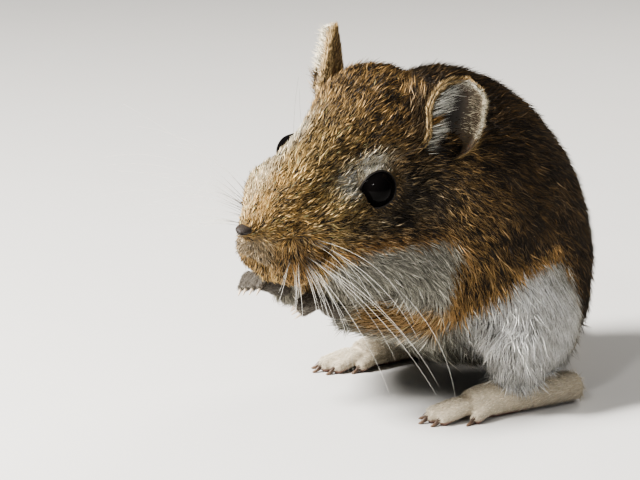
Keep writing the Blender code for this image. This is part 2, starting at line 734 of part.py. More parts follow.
def tuft_locks(line):
    """Tapered locks of long hair round the end of the tail, their roots inside it."""
    rng = np.random.default_rng(11)
    locks = []
    for i in range(TUFT_LOCKS):
        share = TUFT_START + (0.985 - TUFT_START) * i / (TUFT_LOCKS - 1)
        at = int(share * (len(line) - 1))
        centre, radius = line[at, :3], line[at, 3]
        ahead = line[min(at + 1, len(line) - 1), :3] - line[at - 1, :3]
        ahead /= np.linalg.norm(ahead)
        across = np.cross(ahead, (0, 0, 1.0))
        turn = math.radians(i * 137.5) % (2 * math.pi)
        out = across * math.cos(turn) + np.array((0, 0, 1.0)) * math.sin(turn)
        length = rng.uniform(*TUFT_LENGTH)
        points = bowed_line(centre + out * radius * 0.25, ahead + out * rng.uniform(0.14, 0.28),
                            length, -out * 0.6, 5)
        points[:, 2] = np.maximum(points[:, 2], 0.75)
        locks.append(spike("lock", points, 1.05, 0.22))
    return locks


def search_tree(obj):
    """A tree that finds the nearest place on a mesh object."""
    bm = bmesh.new()
    bm.from_mesh(obj.data)
    bm.transform(obj.matrix_world)
    tree = BVHTree.FromBMesh(bm)
    bm.free()
    return tree


def keeps_clear(points, others):
    """Whether a line of points stays clear of the other nodes from its second point on."""
    for start, end in zip(points[1:], points[2:]):
        for step in range(CLEARANCE_STEPS + 1):
            place = Vector(scaled(start)).lerp(Vector(scaled(end)), step / CLEARANCE_STEPS)
            if any(tree.find_nearest(place, WHISKER_ROOM * MM)[0] for tree in others):
                return False
    return True


def fan_line(root, side, angles, length, normal, outward):
    """A whisker's middle line from its root, whose way turns from the first angle to the last.

    The share outward bends it towards the normal.
    """
    share = np.linspace(0, 1, WHISKER_POINTS)
    turn = np.radians(angles[0] + (angles[1] - angles[0]) * share**1.2)[:, None]
    ways = np.cos(turn) * np.array(FAN_ACROSS) + np.sin(turn) * np.array(FAN_UP) + FAN_OUT[side]
    ways = ways @ np.array(HEAD.to_3x3()).T
    ways = ways * (1 - outward) + np.array(normal) * outward
    steps = (ways[1:] + ways[:-1]) / 2 * length / (WHISKER_POINTS - 1)
    return np.array(root) + np.vstack([np.zeros(3), np.cumsum(steps, axis=0)])


def build_whiskers(pad, side, nodes):
    """Long stiff whiskers in a fan on the pad, each fused to it and clear of the other nodes."""
    inside = mirrored(PAD_CELL[0], side)
    own, others = search_tree(pad), [search_tree(node) for node in nodes]
    spikes = []
    for root, start, end, length in WHISKERS[side]:
        for spread, outward in WHISKER_TRIES:
            aim = Vector(root) - inside
            aim = HEAD.to_3x3() @ Vector((aim.x, aim.y * spread, aim.z * spread))
            surface, normal, _, _ = own.ray_cast(HEAD @ Vector(scaled(inside)), aim)
            line = fan_line(surface / MM + normal * 0.3, side, (start, end), length, normal, outward)
            points = np.vstack([np.array(surface / MM - normal * WHISKER_DEPTH), line])
            if keeps_clear(points, others):
                spikes.append(spike("whisker", points, WHISKER_ROOT, WHISKER_TIP))
                break
    return fused(pad.name, [pad] + spikes)


def build_cells(side):
    """The limb cells of a side in the order in which they are parted off."""
    points, radii = FOREARMS[side]
    way = Vector(points[-1]) - Vector(points[0])
    wide = [r + FORELIMB_CELL for r in radii]
    longer = (Vector(points[0]), Vector(points[1]), Vector(points[2]) + way * WRIST_SHARE)
    cells = [(side + "_forearm", limb("cell", longer, wide, 12, 3))]
    centre, radii, turn = UPPER_ARM_CELL
    cells.append((side + "_upper_arm", ellipsoid("cell", mirrored(centre, side), radii, turn)))
    points, radii = SHANK_CELL
    cells.append((side + "_shank", limb("cell", [mirrored(p, side) for p in points], radii, 10, 3)))
    centre, radii, turn = THIGH_CELL
    cells.append((side + "_thigh", ellipsoid("cell", mirrored(centre, side), radii, turn)))
    return cells


MATERIALS = {
    "agouti_coat": ((0.36, 0.21, 0.09), 0.85),
    "rust_flank": ((0.48, 0.24, 0.08), 0.85),
    "white_fur": ((0.72, 0.69, 0.63), 0.85),
    "eye_black": ((0.012, 0.010, 0.010), 0.08),
    "ear_skin": ((0.42, 0.33, 0.27), 0.7),
    "paw_fur": ((0.60, 0.50, 0.38), 0.8),
    "tail_coat": ((0.34, 0.22, 0.11), 0.85),
    "tuft_hair": ((0.07, 0.05, 0.035), 0.85),
    "muzzle_fur": ((0.44, 0.29, 0.15), 0.85),
}


def material_of(name):
    """Which material a node has."""
    for ending, kind in (("_eye", "eye_black"), ("_ear", "ear_skin"), ("_foot", "paw_fur"),
                         ("_forepaw", "paw_fur"), ("_pad", "muzzle_fur"), ("_shank", "white_fur"),
                         ("jaw", "white_fur"), ("_forearm", "rust_flank"),
                         ("_upper_arm", "rust_flank"), ("tail_tip", "tuft_hair"),
                         ("tail_base", "tail_coat"), ("tail_middle", "tail_coat")):
        if name.endswith(ending):
            return kind
    return "agouti_coat"


def coloured(nodes):
    """Gives each node a material of its own."""
    for node in nodes:
        kind = material_of(node.name)
        colour, roughness = MATERIALS[kind]
        material = bpy.data.materials.new(f"{kind}_{node.name}")
        material.use_nodes = True
        shader = material.node_tree.nodes["Principled BSDF"]
        shader.inputs["Base Color"].default_value = (*colour, 1.0)
        shader.inputs["Roughness"].default_value = roughness
        node.data.materials.clear()
        node.data.materials.append(material)


def moved_to_origin(nodes):
    """Moves all nodes so that the middle of the box's underside is the origin."""
    boxes = [box_of(node) for node in nodes]
    low = np.min([b[0] for b in boxes], axis=0)
    high = np.max([b[1] for b in boxes], axis=0)
    shift = Matrix.Translation((-(low[0] + high[0]) / 2, -(low[1] + high[1]) / 2, -low[2]))
    for node in nodes:
        node.data.transform(node.matrix_world)
        node.matrix_world = Matrix.Identity(4)
        node.data.transform(shift)


def main():
    for obj in list(bpy.data.objects):
        bpy.data.objects.remove(obj)
    flesh = thinned(build_flesh(), FLESH_TRIANGLES)
    nodes = []
    for side in SIDES:
        for name, cell in build_cells(side):
            nodes.append(apart(flesh, cell, name))
    centre, radii, turn = HEAD_CELL
    head = apart(flesh, ellipsoid("cell", centre, radii, turn, HEAD, 4), "head")
    centre, radii, turn = NECK_CELL
    neck = apart(flesh, ellipsoid("cell", centre, radii, turn, None, 4), "neck")
    flesh.name = "torso"
    centre, radii, turn = JAW_CELL
    jaw = apart(head, ellipsoid("cell", centre, radii, turn, HEAD, 4), "lower_jaw")
    pads = []
    for side in SIDES:
        centre, radii, turn = PAD_CELL
        cell = ellipsoid("cell", mirrored(centre, side), radii, (0, 0, turn[2] * SIDES[side]), HEAD, 3)
        pads.append(thinned(apart(head, cell, side + "_whisker_pad"), PAD_TRIANGLES))
    detail_head(head)
    nodes += [head, neck, flesh, jaw]
    for side in SIDES:
        for part in (build_foot(side), build_forepaw(side)):
            cleared(nodes, part)
            nodes.append(part)
        ear = build_ear(side)
        cleared([ear], head)
        cleared([ear], neck)
        nodes.append(ear)
        nodes.append(build_eye(side))
    tail = build_tail()
    cleared([flesh] + [n for n in nodes if n.name.endswith("thigh")], tail[0])
    for node in nodes:
        if node.name in NODE_TRIANGLES or node.name.endswith(("arm", "shank", "thigh")):
            thinned(node, NODE_TRIANGLES.get(node.name, LIMB_TRIANGLES))
    nodes += tail
    nodes += [build_whiskers(pad, side, nodes[:]) for pad, side in zip(pads, SIDES)]
    moved_to_origin(nodes)
    coloured(nodes)


main()
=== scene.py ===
"""A life-size still model of a golden agouti gerbil that crouches with its forepaws held up.

One skin stands for all the nodes of flesh. It lies under their surface by the depth of the coat,
and the coat stands on it as thin closed tufts that follow the lie of the hair. Lengths are in
millimetres of the animal's own frame: it faces -Y, its left side is +X and the floor is Z = 0.
The head has a frame of its own: x to its left, y back from the tip of the nose, z up.
"""

import logging
import math
from dataclasses import dataclass, field
from enum import Enum
from typing import Callable

import bpy
import numpy as np
from mathutils import Matrix, Vector


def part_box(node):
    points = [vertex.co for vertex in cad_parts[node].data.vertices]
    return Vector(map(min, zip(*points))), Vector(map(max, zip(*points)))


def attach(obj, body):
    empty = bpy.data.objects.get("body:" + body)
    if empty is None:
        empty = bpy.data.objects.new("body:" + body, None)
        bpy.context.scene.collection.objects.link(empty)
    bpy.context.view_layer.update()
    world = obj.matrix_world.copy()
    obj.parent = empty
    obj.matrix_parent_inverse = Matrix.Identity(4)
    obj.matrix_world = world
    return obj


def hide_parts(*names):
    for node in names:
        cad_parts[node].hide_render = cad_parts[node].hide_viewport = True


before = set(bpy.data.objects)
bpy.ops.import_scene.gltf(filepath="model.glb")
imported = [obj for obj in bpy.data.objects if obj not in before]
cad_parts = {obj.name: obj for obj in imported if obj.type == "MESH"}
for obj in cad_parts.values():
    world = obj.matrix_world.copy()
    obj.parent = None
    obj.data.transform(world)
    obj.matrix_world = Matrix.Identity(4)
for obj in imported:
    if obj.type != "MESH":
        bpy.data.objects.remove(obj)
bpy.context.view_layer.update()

Array = np.ndarray
MM = 0.001
ROOT = "root"
STRAND = "hair"
FLOOR_GAP = 0.02
LOG = logging.getLogger("gerbil")
Colour = Point = tuple[float, float, float]
Spot = tuple[Point, Point]


class Side(Enum):
    """The animal's two sides and the sign of x on each."""

    LEFT = 1.0
    RIGHT = -1.0

    @property
    def word(self) -> str:
        """The side's name as the nodes have it."""
        return self.name.lower()

    def of(self, point: tuple[float, ...]) -> Array:
        """A point or direction of the left side, on this side."""
        return np.array(point, float) * (self.value, 1.0, 1.0)

    def rng(self, seed: int) -> np.random.Generator:
        """The source of random draws: from the seed on the left, from the next one on the right."""
        return np.random.default_rng(seed + (self is Side.RIGHT))


def unit(rows: Array) -> Array:
    """Each row divided by its length."""
    return rows / np.maximum(np.linalg.norm(rows, axis=-1, keepdims=True), 1e-12)


def laid_into(ways: Array, normals: Array) -> Array:
    """Each way without its share along the normal, as a unit vector."""
    return unit(ways - (ways * normals).sum(axis=1)[:, None] * normals)


def mirrored(points: Array) -> Array:
    """Points with the right side laid over the left: |x|, y, z."""
    return np.column_stack([np.abs(points[:, 0]), points[:, 1:]])


def rotation(degrees: float, axis: str) -> Matrix:
    """A turn about one of the axes."""
    return Matrix.Rotation(math.radians(degrees), 3, axis)


def ramp(low: float, high: float, values: Array) -> Array:
    """Smooth step: t^2 (3 - 2 t) with t from 0 at low to 1 at high."""
    t = np.clip((values - low) / (high - low), 0.0, 1.0)
    return t * t * (3.0 - 2.0 * t)


def blob(points: Array, centre: tuple[float, ...], radii: tuple[float, ...]) -> Array:
    """exp(-d^2), where d is the distance from the centre in units of the radii."""
    return np.exp(-(((points - np.array(centre)) / np.array(radii)) ** 2).sum(axis=1))


def noise(points: Array, size: float, seed: int) -> Array:
    """Smooth noise from 0 to 1: hashed values on a lattice of the given spacing, blended between
    the eight corners of each cell by the smooth step of the place in it.

    Args:
        points: the places, one a row.
        size: the spacing of the lattice.
        seed: a number that picks the pattern.

    Returns:
        The value at each place.
    """
    places = points / size + 512.0
    cell = np.floor(places).astype(np.int64)
    t = places - cell
    t = t * t * (3.0 - 2.0 * t)
    total = np.zeros(len(points))
    for corner in np.ndindex(2, 2, 2):
        at = cell + corner
        mix = (at[:, 0] * 73856093) ^ (at[:, 1] * 19349663) ^ (at[:, 2] * 83492791) ^ (seed * 7919)
        mix = ((mix ^ (mix >> 13)) * 1274126177) & 0xFFFFFFFF
        value = ((mix ^ (mix >> 16)) & 0xFFFF) / 65535.0
        total += value * np.where(np.array(corner) > 0, t, 1.0 - t).prod(axis=1)
    return total


def mixed(under: Colour | Array, over: Colour | Array, share: Array) -> Array:
    """Rows of colour: one colour or rows of it, each blended with the second by its share."""
    under = np.asarray(under, float)
    return under + (np.asarray(over) - under) * np.clip(share, 0.0, 1.0)[:, None]


def plain(colour: Colour | Array, count: int) -> Array:
    """A number of rows of one colour."""
    return np.tile(np.asarray(colour, float), (count, 1))


def smooth_line(rows: Array, count: int) -> Array:
    """Points along a Catmull-Rom curve: cubic pieces through the rows with the neighbours' slope.

    Args:
        rows: the places that the curve passes, with any further columns carried along.
        count: how many points to return, evenly spread over the pieces.

    Returns:
        The points, one a row.
    """
    rows = np.asarray(rows, float)
    padded = np.vstack([2 * rows[0] - rows[1], rows, 2 * rows[-1] - rows[-2]])
    places = np.linspace(0, len(rows) - 1, count)
    i = np.minimum(places.astype(int), len(rows) - 2)
    t = (places - i)[:, None]
    a, b, c, d = padded[i], padded[i + 1], padded[i + 2], padded[i + 3]
    return 0.5 * (2 * b + (c - a) * t + (2 * a - 5 * b + 4 * c - d) * t**2
                  + (3 * b - a - 3 * c + d) * t**3)


@dataclass(frozen=True)
class Pose:
    """Where the head lies in the animal's frame and where the animal lies in the row's frame."""

    nose: Point = (13.2, -37.0, 33.2)
    yaw: float = 21.0
    pitch: float = 11.0
    roll: float = 13.0
    eye: Point = (7.9, 22.7, 2.0)
    eye_radius: float = 3.3
    eye_axis: Point = (0.78, -0.48, 0.40)

    @property
    def turn(self) -> Array:
        """Head frame to the animal's frame: Rz(yaw) Rx(pitch) Ry(roll)."""
        return np.array(rotation(self.yaw, "Z") @ rotation(self.pitch, "X")
                        @ rotation(self.roll, "Y"))

    @property
    def offset(self) -> Array:
        """From the animal's frame to the row's, read off the left eye's box."""
        low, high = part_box("left_eye")
        centre = np.array((low + high) / 2) / MM
        return centre - self.from_head(np.array([self.eye]))[0]

    def from_head(self, points: Array) -> Array:
        """Points of the head frame in the animal's frame."""
        return points @ self.turn.T + np.array(self.nose)

    def spot(self, side: Side, point: Point) -> Array:
        """A place given for the left of the head, on a side, in the animal's frame."""
        return self.from_head(side.of(point)[None])[0]

    def heading(self, side: Side, way: Point) -> Array:
        """A direction given for the left of the head, on a side, in the animal's frame."""
        return self.turn @ side.of(way)

    def to_head(self, points: Array) -> Array:
        """Points of the animal's frame in the head frame."""
        return (points - np.array(self.nose)) @ self.turn

    def to_row(self, points: Array) -> Array:
        """Points of the animal's frame in metres of the row's frame."""
        return (points + self.offset) * MM

    def from_row(self, points: Array) -> Array:
        """Points of the row's frame, in metres, in the animal's frame."""
        return points / MM - self.offset


POSE = Pose()


@dataclass(frozen=True)
class Opening:
    """The almond-shaped gap between the lids, as angles from the way that the eye looks."""

    along: float = 65.0
    above: float = 50.0
    below: float = 52.0
    corner: float = 15.0
    corner_width: float = 0.24
    slit: Point = (0.250, 0.820, 0.510)
    sunk: float = 0.3

    def axes(self, side: Side) -> tuple[Array, Array, Array, Array]:
        """The eyeball's centre, the way that it looks, the line of the slit towards the back, and
        the way across it upwards, in the animal's frame."""
        axis = unit(POSE.heading(side, POSE.eye_axis))
        centre = POSE.spot(side, POSE.eye) - axis * self.sunk
        line = POSE.heading(side, self.slit)
        line = unit(line - axis * (line @ axis))
        over = np.cross(axis, line)
        return centre, axis, line, over * np.sign(over @ POSE.turn[:, 2])

    def polar(self, side: Side, points: Array) -> tuple[Array, Array, Array]:
        """Each place's distance from the eyeball's centre, its angle in degrees from the way that
        the eye looks, and its turn round that way, 0 at the back corner and 90 degrees above."""
        centre, axis, line, over = self.axes(side)
        away = points - centre
        reach = np.linalg.norm(away, axis=1)
        angle = np.degrees(np.arccos(np.clip(unit(away) @ axis, -1.0, 1.0)))
        return reach, angle, np.arctan2(away @ over, away @ line)

    def limit(self, turn: Array) -> Array:
        """The lids' edge: 1 / sqrt((cos t / a)^2 + (sin t / b)^2), drawn out at the front corner."""
        high = np.where(turn > 0, self.above, self.below)
        edge = 1.0 / np.sqrt((np.cos(turn) / self.along) ** 2 + (np.sin(turn) / high) ** 2)
        return edge + self.corner * np.exp(-(((math.pi - np.abs(turn)) / self.corner_width) ** 2))


OPENING = Opening()


def new_object(name: str, data: bpy.types.ID) -> bpy.types.Object:
    """An object of the scene around its data."""
    holder = bpy.data.objects.new(name, data)
    bpy.context.scene.collection.objects.link(holder)
    return holder


def mesh_piece(name: str, points: Array, faces: Array, finish: "Finish", slot: str,
               replaces: tuple[str, ...] = (), colours: Array | None = None) -> bpy.types.Object:
    """A finished piece of the model from arrays.

    Args:
        name: the piece's name.
        points: its places in millimetres of the animal's frame, one a row.
        faces: indices of its corners, one face a row, all with as many corners.
        finish: what its surface is.
        slot: the record's material slot; not used.
        replaces: the CAD nodes that it stands for.
        colours: the colour at each point, for a finish that reads it.

    Returns:
        The object, at the origin, smooth, with its material.
    """
    count, corners = faces.shape
    mesh = bpy.data.meshes.new(name)
    mesh.vertices.add(len(points))
    mesh.vertices.foreach_set("co", POSE.to_row(points).astype(np.float32).ravel())
    mesh.loops.add(count * corners)
    mesh.loops.foreach_set("vertex_index", faces.astype(np.int32).ravel())
    mesh.polygons.add(count)
    mesh.polygons.foreach_set("loop_start", np.arange(0, count * corners, corners, dtype=np.int32))
    mesh.polygons.foreach_set("use_smooth", np.ones(count, dtype=bool))
    mesh.update(calc_edges=True)
    mesh.materials.append(finish.material())
    if colours is not None:
        layer = mesh.attributes.new(STRAND, "FLOAT_COLOR", "POINT")
        full = np.ones((len(colours), 4), np.float32)
        full[:, :3] = colours
        layer.data.foreach_set("color", full.ravel())
    piece = new_object(name, mesh)
    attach(piece, ROOT)
    if replaces:
        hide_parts(*replaces)
    LOG.info("%s: %d faces", name, count)
    return piece


def grid_faces(rows: int, columns: int, closed: bool = True, looped: bool = False) -> Array:
    """Quads over a grid of points stored row by row. The last column is joined to the first where
    it is closed, and the last row to the first where it is looped."""
    i, j = np.meshgrid(np.arange(rows if looped else rows - 1),
                       np.arange(columns if closed else columns - 1), indexing="ij")
    k, n = (j + 1) % columns, (i + 1) % rows
    quads = np.stack([i * columns + j, i * columns + k, n * columns + k, n * columns + j], axis=-1)
    return quads.reshape(-1, 4)


def split_quads(quads: Array) -> Array:
    """Two triangles for each quad."""
    return np.vstack([quads[:, [0, 1, 2]], quads[:, [0, 2, 3]]])


def capped_faces(rows: int, columns: int) -> Array:
    """Triangles over a closed grid, and a fan at each end to one of the two points after it."""
    j = np.arange(columns)
    k, last = (j + 1) % columns, (rows - 1) * columns
    start = np.stack([np.full(columns, last + columns), j, k], axis=1)
    end = np.stack([np.full(columns, last + columns + 1), last + k, last + j], axis=1)
    return np.vstack([split_quads(grid_faces(rows, columns))[:, ::-1], start, end])


def tube(line: Array, radii: Array, sides: int, flat: float = 1.0) -> tuple[Array, Array]:
    """A closed body swept along a line: p(t) + r(t) (cos a, flat sin a) across the line.

    Args:
        line: the middle line, one point a row.
        radii: the radius at each point.
        sides: corners of the cross-section.
        flat: height of the section over its width.

    Returns:
        Its points and its triangles, the ends closed by fans.
    """
    ahead = unit(np.gradient(line, axis=0))
    across = unit(np.cross(ahead, np.array((0.13, 0.21, 0.97))))
    upward = np.cross(across, ahead)
    angles = np.linspace(0, 2 * math.pi, sides, endpoint=False)
    ring = (np.cos(angles)[None, :, None] * across[:, None, :]
            + flat * np.sin(angles)[None, :, None] * upward[:, None, :])
    points = (line[:, None, :] + radii[:, None, None] * ring).reshape(-1, 3)
    return np.vstack([points, line[0], line[-1]]), capped_faces(len(line), sides)


def swept(rows: list[tuple], count: int, sides: int, share: float = 1.0, flat: float = 1.0
          ) -> tuple[Array, Array]:
    """A tube along the smooth line through rows of x, y, z and radius, which takes a share of it."""
    line = smooth_line(rows, count)
    return tube(line[:, :3], line[:, 3] * share, sides, flat)


def ball(centre: Array, radii: Array, turn: Array | None = None, rows: int = 24
         ) -> tuple[Array, Array]:
    """A closed ellipsoid: centre + T (a sin u cos v, b sin u sin v, c cos u).

    Args:
        centre: its middle.
        radii: its three radii.
        turn: a 3 by 3 matrix T, or None for no turn.
        rows: rings from pole to pole.

    Returns:
        Its points and its triangles.
    """
    u = np.linspace(0, math.pi, rows + 1)[1:-1]
    v = np.linspace(0, 2 * math.pi, 2 * rows, endpoint=False)
    shell = np.stack([np.outer(np.sin(u), np.cos(v)), np.outer(np.sin(u), np.sin(v)),
                      np.outer(np.cos(u), np.ones_like(v))], axis=-1).reshape(-1, 3)
    shell = np.vstack([shell, (0, 0, 1), (0, 0, -1)]) * np.asarray(radii, float)
    if turn is not None:
        shell = shell @ turn.T
    return shell + np.asarray(centre, float), capped_faces(len(u), 2 * rows)


def outward_faces(points: Array, faces: Array) -> Array:
    """Quads as they are, or turned round where their volume sum a . (b x c + c x d) is negative."""
    a, b, c, d = (points[faces[:, i]] for i in range(4))
    volume = (a * np.cross(b, c)).sum() + (a * np.cross(c, d)).sum()
    return faces if volume > 0 else faces[:, ::-1]


def merged(pieces: list[tuple[Array, Array]]) -> tuple[Array, Array]:
    """Points and faces of several pieces as one pair of arrays."""
    starts = np.cumsum([0] + [len(points) for points, _ in pieces[:-1]])
    return (np.vstack([points for points, _ in pieces]),
            np.vstack([faces + start for (_, faces), start in zip(pieces, starts)]))


# Finishes


class Groups:
    """Shader node groups that more than one finish uses."""

    @staticmethod
    def start(name: str, inputs: dict[str, tuple[str, float | tuple]],
              outputs: dict[str, str]) -> tuple[bpy.types.NodeTree, bpy.types.Node, bpy.types.Node]:
        """An empty group with its sockets.

        Args:
            name: the group's name.
            inputs: the type and the default of each input.
            outputs: the type of each output.

        Returns:
            The group, its input node and its output node.
        """
        group = bpy.data.node_groups.new(name, "ShaderNodeTree")
        for label, (kind, default) in inputs.items():
            socket = group.interface.new_socket(name=label, in_out="INPUT", socket_type=kind)
            socket.default_value = default
        for label, kind in outputs.items():
            group.interface.new_socket(name=label, in_out="OUTPUT", socket_type=kind)
        return group, group.nodes.new("NodeGroupInput"), group.nodes.new("NodeGroupOutput")

    @classmethod
    def mottle(cls) -> bpy.types.NodeTree:
        """Colour varied in blotches: colour (1 + amount (noise - 1/2)), and the noise as height."""
        found = bpy.data.node_groups.get("mottle")
        if found:
            return found
        group, entry, leave = cls.start(
            "mottle",
            {"Colour": ("NodeSocketColor", (0.5, 0.5, 0.5, 1.0)), "Scale": ("NodeSocketFloat", 900.0),
             "Amount": ("NodeSocketFloat", 0.5)},
            {"Colour": "NodeSocketColor", "Height": "NodeSocketFloat",
             "Roughness": "NodeSocketFloat"})
        nodes, links = group.nodes, group.links
        place = nodes.new("ShaderNodeTexCoord")
        noise = nodes.new("ShaderNodeTexNoise")
        noise.inputs["Detail"].default_value = 4.0
        links.new(place.outputs["Object"], noise.inputs["Vector"])
        links.new(entry.outputs["Scale"], noise.inputs["Scale"])
        centred = cls.maths(group, "SUBTRACT", noise.outputs["Fac"], 0.5)
        swing = cls.maths(group, "MULTIPLY", centred, entry.outputs["Amount"])
        factor = cls.maths(group, "ADD", swing, 1.0)
        shade = nodes.new("ShaderNodeVectorMath")
        shade.operation = "SCALE"
        links.new(entry.outputs["Colour"], shade.inputs[0])
        links.new(factor, shade.inputs["Scale"])
        links.new(shade.outputs[0], leave.inputs["Colour"])
        links.new(noise.outputs["Fac"], leave.inputs["Height"])
        rough = nodes.new("ShaderNodeMapRange")
        rough.inputs["To Min"].default_value = 0.42
        rough.inputs["To Max"].default_value = 0.72
        links.new(noise.outputs["Fac"], rough.inputs["Value"])
        links.new(rough.outputs[0], leave.inputs["Roughness"])
        return group

    @staticmethod
    def maths(tree: bpy.types.NodeTree, operation: str, *values: object) -> bpy.types.NodeSocket:
        """The result of a Math node of sockets or numbers."""
        node = tree.nodes.new("ShaderNodeMath")
        node.operation = operation
        for socket, value in zip(node.inputs, values):
            if isinstance(value, bpy.types.NodeSocket):
                tree.links.new(value, socket)
            else:
                socket.default_value = value
        return node.outputs[0]


@dataclass(frozen=True)
class Finish:
    """A surface of one colour, or of the colour painted on its points where none is given.

    The colour is varied in fine blotches, which also drive the roughness and a light bump.
    """

    name: str
    colour: Colour | None = None
    scale: float = 900.0
    amount: float = 0.5
    bump: float = 0.15
    bump_depth: float = 0.0001
    specular: float = 0.35
    roughness: float | None = None
    scatter: float = 0.0
    scatter_depth: float = 0.0006

    def material(self) -> bpy.types.Material:
        """The finish as a material, built once."""
        found = bpy.data.materials.get(self.name)
        if found:
            return found
        material = bpy.data.materials.new(self.name)
        material.use_nodes = True
        tree = material.node_tree
        shader = tree.nodes["Principled BSDF"]
        group = tree.nodes.new("ShaderNodeGroup")
        group.node_tree = Groups.mottle()
        group.inputs["Scale"].default_value = self.scale
        group.inputs["Amount"].default_value = self.amount
        if self.colour:
            group.inputs["Colour"].default_value = (*self.colour, 1.0)
        else:
            reader = tree.nodes.new("ShaderNodeAttribute")
            reader.attribute_name = STRAND
            tree.links.new(reader.outputs["Color"], group.inputs["Colour"])
        tree.links.new(group.outputs["Colour"], shader.inputs["Base Color"])
        if self.roughness is None:
            tree.links.new(group.outputs["Roughness"], shader.inputs["Roughness"])
        else:
            shader.inputs["Roughness"].default_value = self.roughness
        if self.bump:
            bump = tree.nodes.new("ShaderNodeBump")
            bump.inputs["Strength"].default_value = self.bump
            bump.inputs["Distance"].default_value = self.bump_depth
            tree.links.new(group.outputs["Height"], bump.inputs["Height"])
            tree.links.new(bump.outputs["Normal"], shader.inputs["Normal"])
        shader.inputs["Specular IOR Level"].default_value = self.specular
        if self.scatter:
            shader.inputs["Subsurface Weight"].default_value = self.scatter
            shader.inputs["Subsurface Scale"].default_value = self.scatter_depth
        return material


HAIR = Finish("hair_strands", scale=2500.0, bump=0.0, specular=0.15)
UNDERFUR = Finish("short_underfur", scale=3000.0, amount=0.9, bump=0.6, bump_depth=0.0002,
                  specular=0.12)
EAR_SKIN = Finish("thin_ear_skin", scale=1500.0, amount=0.4, bump=0.3, specular=0.25, scatter=0.12)
EYEBALL = Finish("wet_black_eye", (0.0035, 0.003, 0.003), scale=400.0, amount=0.6, bump=0.0,
                 specular=0.055, roughness=0.06)
EYE_RIM = Finish("dark_eye_rim", (0.014, 0.011, 0.010), scale=1800.0, amount=0.7, bump=0.4,
                 specular=0.3, roughness=0.5)
NOSE_SKIN = Finish("nose_skin", scale=4200.0, amount=0.6, bump=0.6, bump_depth=0.00012,
                   specular=0.3, scatter=0.05)
CLAW_HORN = Finish("claw_horn", scale=1400.0, bump=0.2, specular=0.5, roughness=0.35)
PAW_SKIN = Finish("paw_skin", scale=2500.0, bump=0.5, bump_depth=0.0002, specular=0.3)
WHISKER_HAIR = Finish("whisker_hair", scale=800.0, amount=0.3, bump=0.0, specular=0.5)
FLOOR = Finish("pale_floor", (0.62, 0.61, 0.59), scale=60.0, amount=0.03, bump=0.05, specular=0.2,
               roughness=0.6)


# Markings: one set of functions for the skin and for every tuft


class Pigment:
    """The colours of hair, bare skin and horn, as the share of light that each reflects; where painted shade
    is mixed in, it is noted.
    """

    GOLD = (0.51, 0.355, 0.150)
    ORANGE = (0.54, 0.325, 0.110)
    CROWN = (0.35, 0.222, 0.092)
    BROWN = (0.096, 0.063, 0.031)
    RUST = (0.38, 0.195, 0.070)
    BELT = (0.48, 0.29, 0.115)
    CREAM = (0.66, 0.60, 0.46)
    PALE_GREY = (0.46, 0.43, 0.36)
    # Olive grey is painted shade: on the cheeks and behind the forepaws, and behind the whisker pads partly
    # the real darker recess there.
    OLIVE_GREY = (0.170, 0.145, 0.098)
    LIP_GREY = (0.27, 0.235, 0.175)
    FAN_BROWN = (0.27, 0.155, 0.058)
    WHITE = (0.78, 0.77, 0.73)
    # Half-bright white: partly the grey of the hairs' bases, partly painted shade.
    SHADED_WHITE = (0.37, 0.355, 0.30)
    BLACK = (0.022, 0.017, 0.013)
    SLATE = (0.055, 0.050, 0.046)
    # Dark brown of the forepaws: partly their own skin, partly painted shade.
    PAW_BROWN = (0.060, 0.050, 0.040)
    BUFF = (0.60, 0.52, 0.39)
    TAIL_BROWN = (0.34, 0.20, 0.08)
    TAIL_SKIN = (0.30, 0.17, 0.07)
    SOLE = (0.16, 0.09, 0.07)
    CLAW_ROOT = (0.05, 0.03, 0.02)
    CLAW_TIP = (0.20, 0.13, 0.085)
    PALE_CLAW = (0.55, 0.45, 0.34)
    WHISKER_ROOT = (0.035, 0.025, 0.018)
    WHISKER_TIP = (0.66, 0.64, 0.58)
    NOSE = (0.020, 0.015, 0.012)
    NOSE_TOP = (0.040, 0.031, 0.024)
    NOSTRIL = (0.010, 0.007, 0.006)


class EarTone:
    """The colours of the ears' hair and skin."""

    LOBE = (0.62, 0.55, 0.40)
    FOOT = (0.15, 0.10, 0.05)
    RIM = (0.56, 0.52, 0.42)
    DEEP = (0.05, 0.038, 0.028)
    EDGE = (0.40, 0.29, 0.15)
    TUFT = (0.72, 0.70, 0.62)
    # Near-black hair well inside the cup: painted shade.
    RUSTY = (0.34, 0.20, 0.08)
    LOW_TUFT = (0.64, 0.62, 0.54)
    BACK = (0.40, 0.275, 0.13)
    NAPE = (0.22, 0.15, 0.07)
    BACK_RIM = (0.45, 0.40, 0.30)
    PINNA = (0.085, 0.065, 0.045)
    # Near black in the middle of the cup: painted shade.
    HOLLOW = (0.015, 0.012, 0.010)
    FRONT_LIP = (0.10, 0.072, 0.042)
    PALE_LIP = (0.30, 0.265, 0.20)
    PINNA_BACK = (0.14, 0.095, 0.055)
    INNER_FOOT = (0.05, 0.036, 0.024)
    OUTER_FOOT = (0.06, 0.042, 0.026)


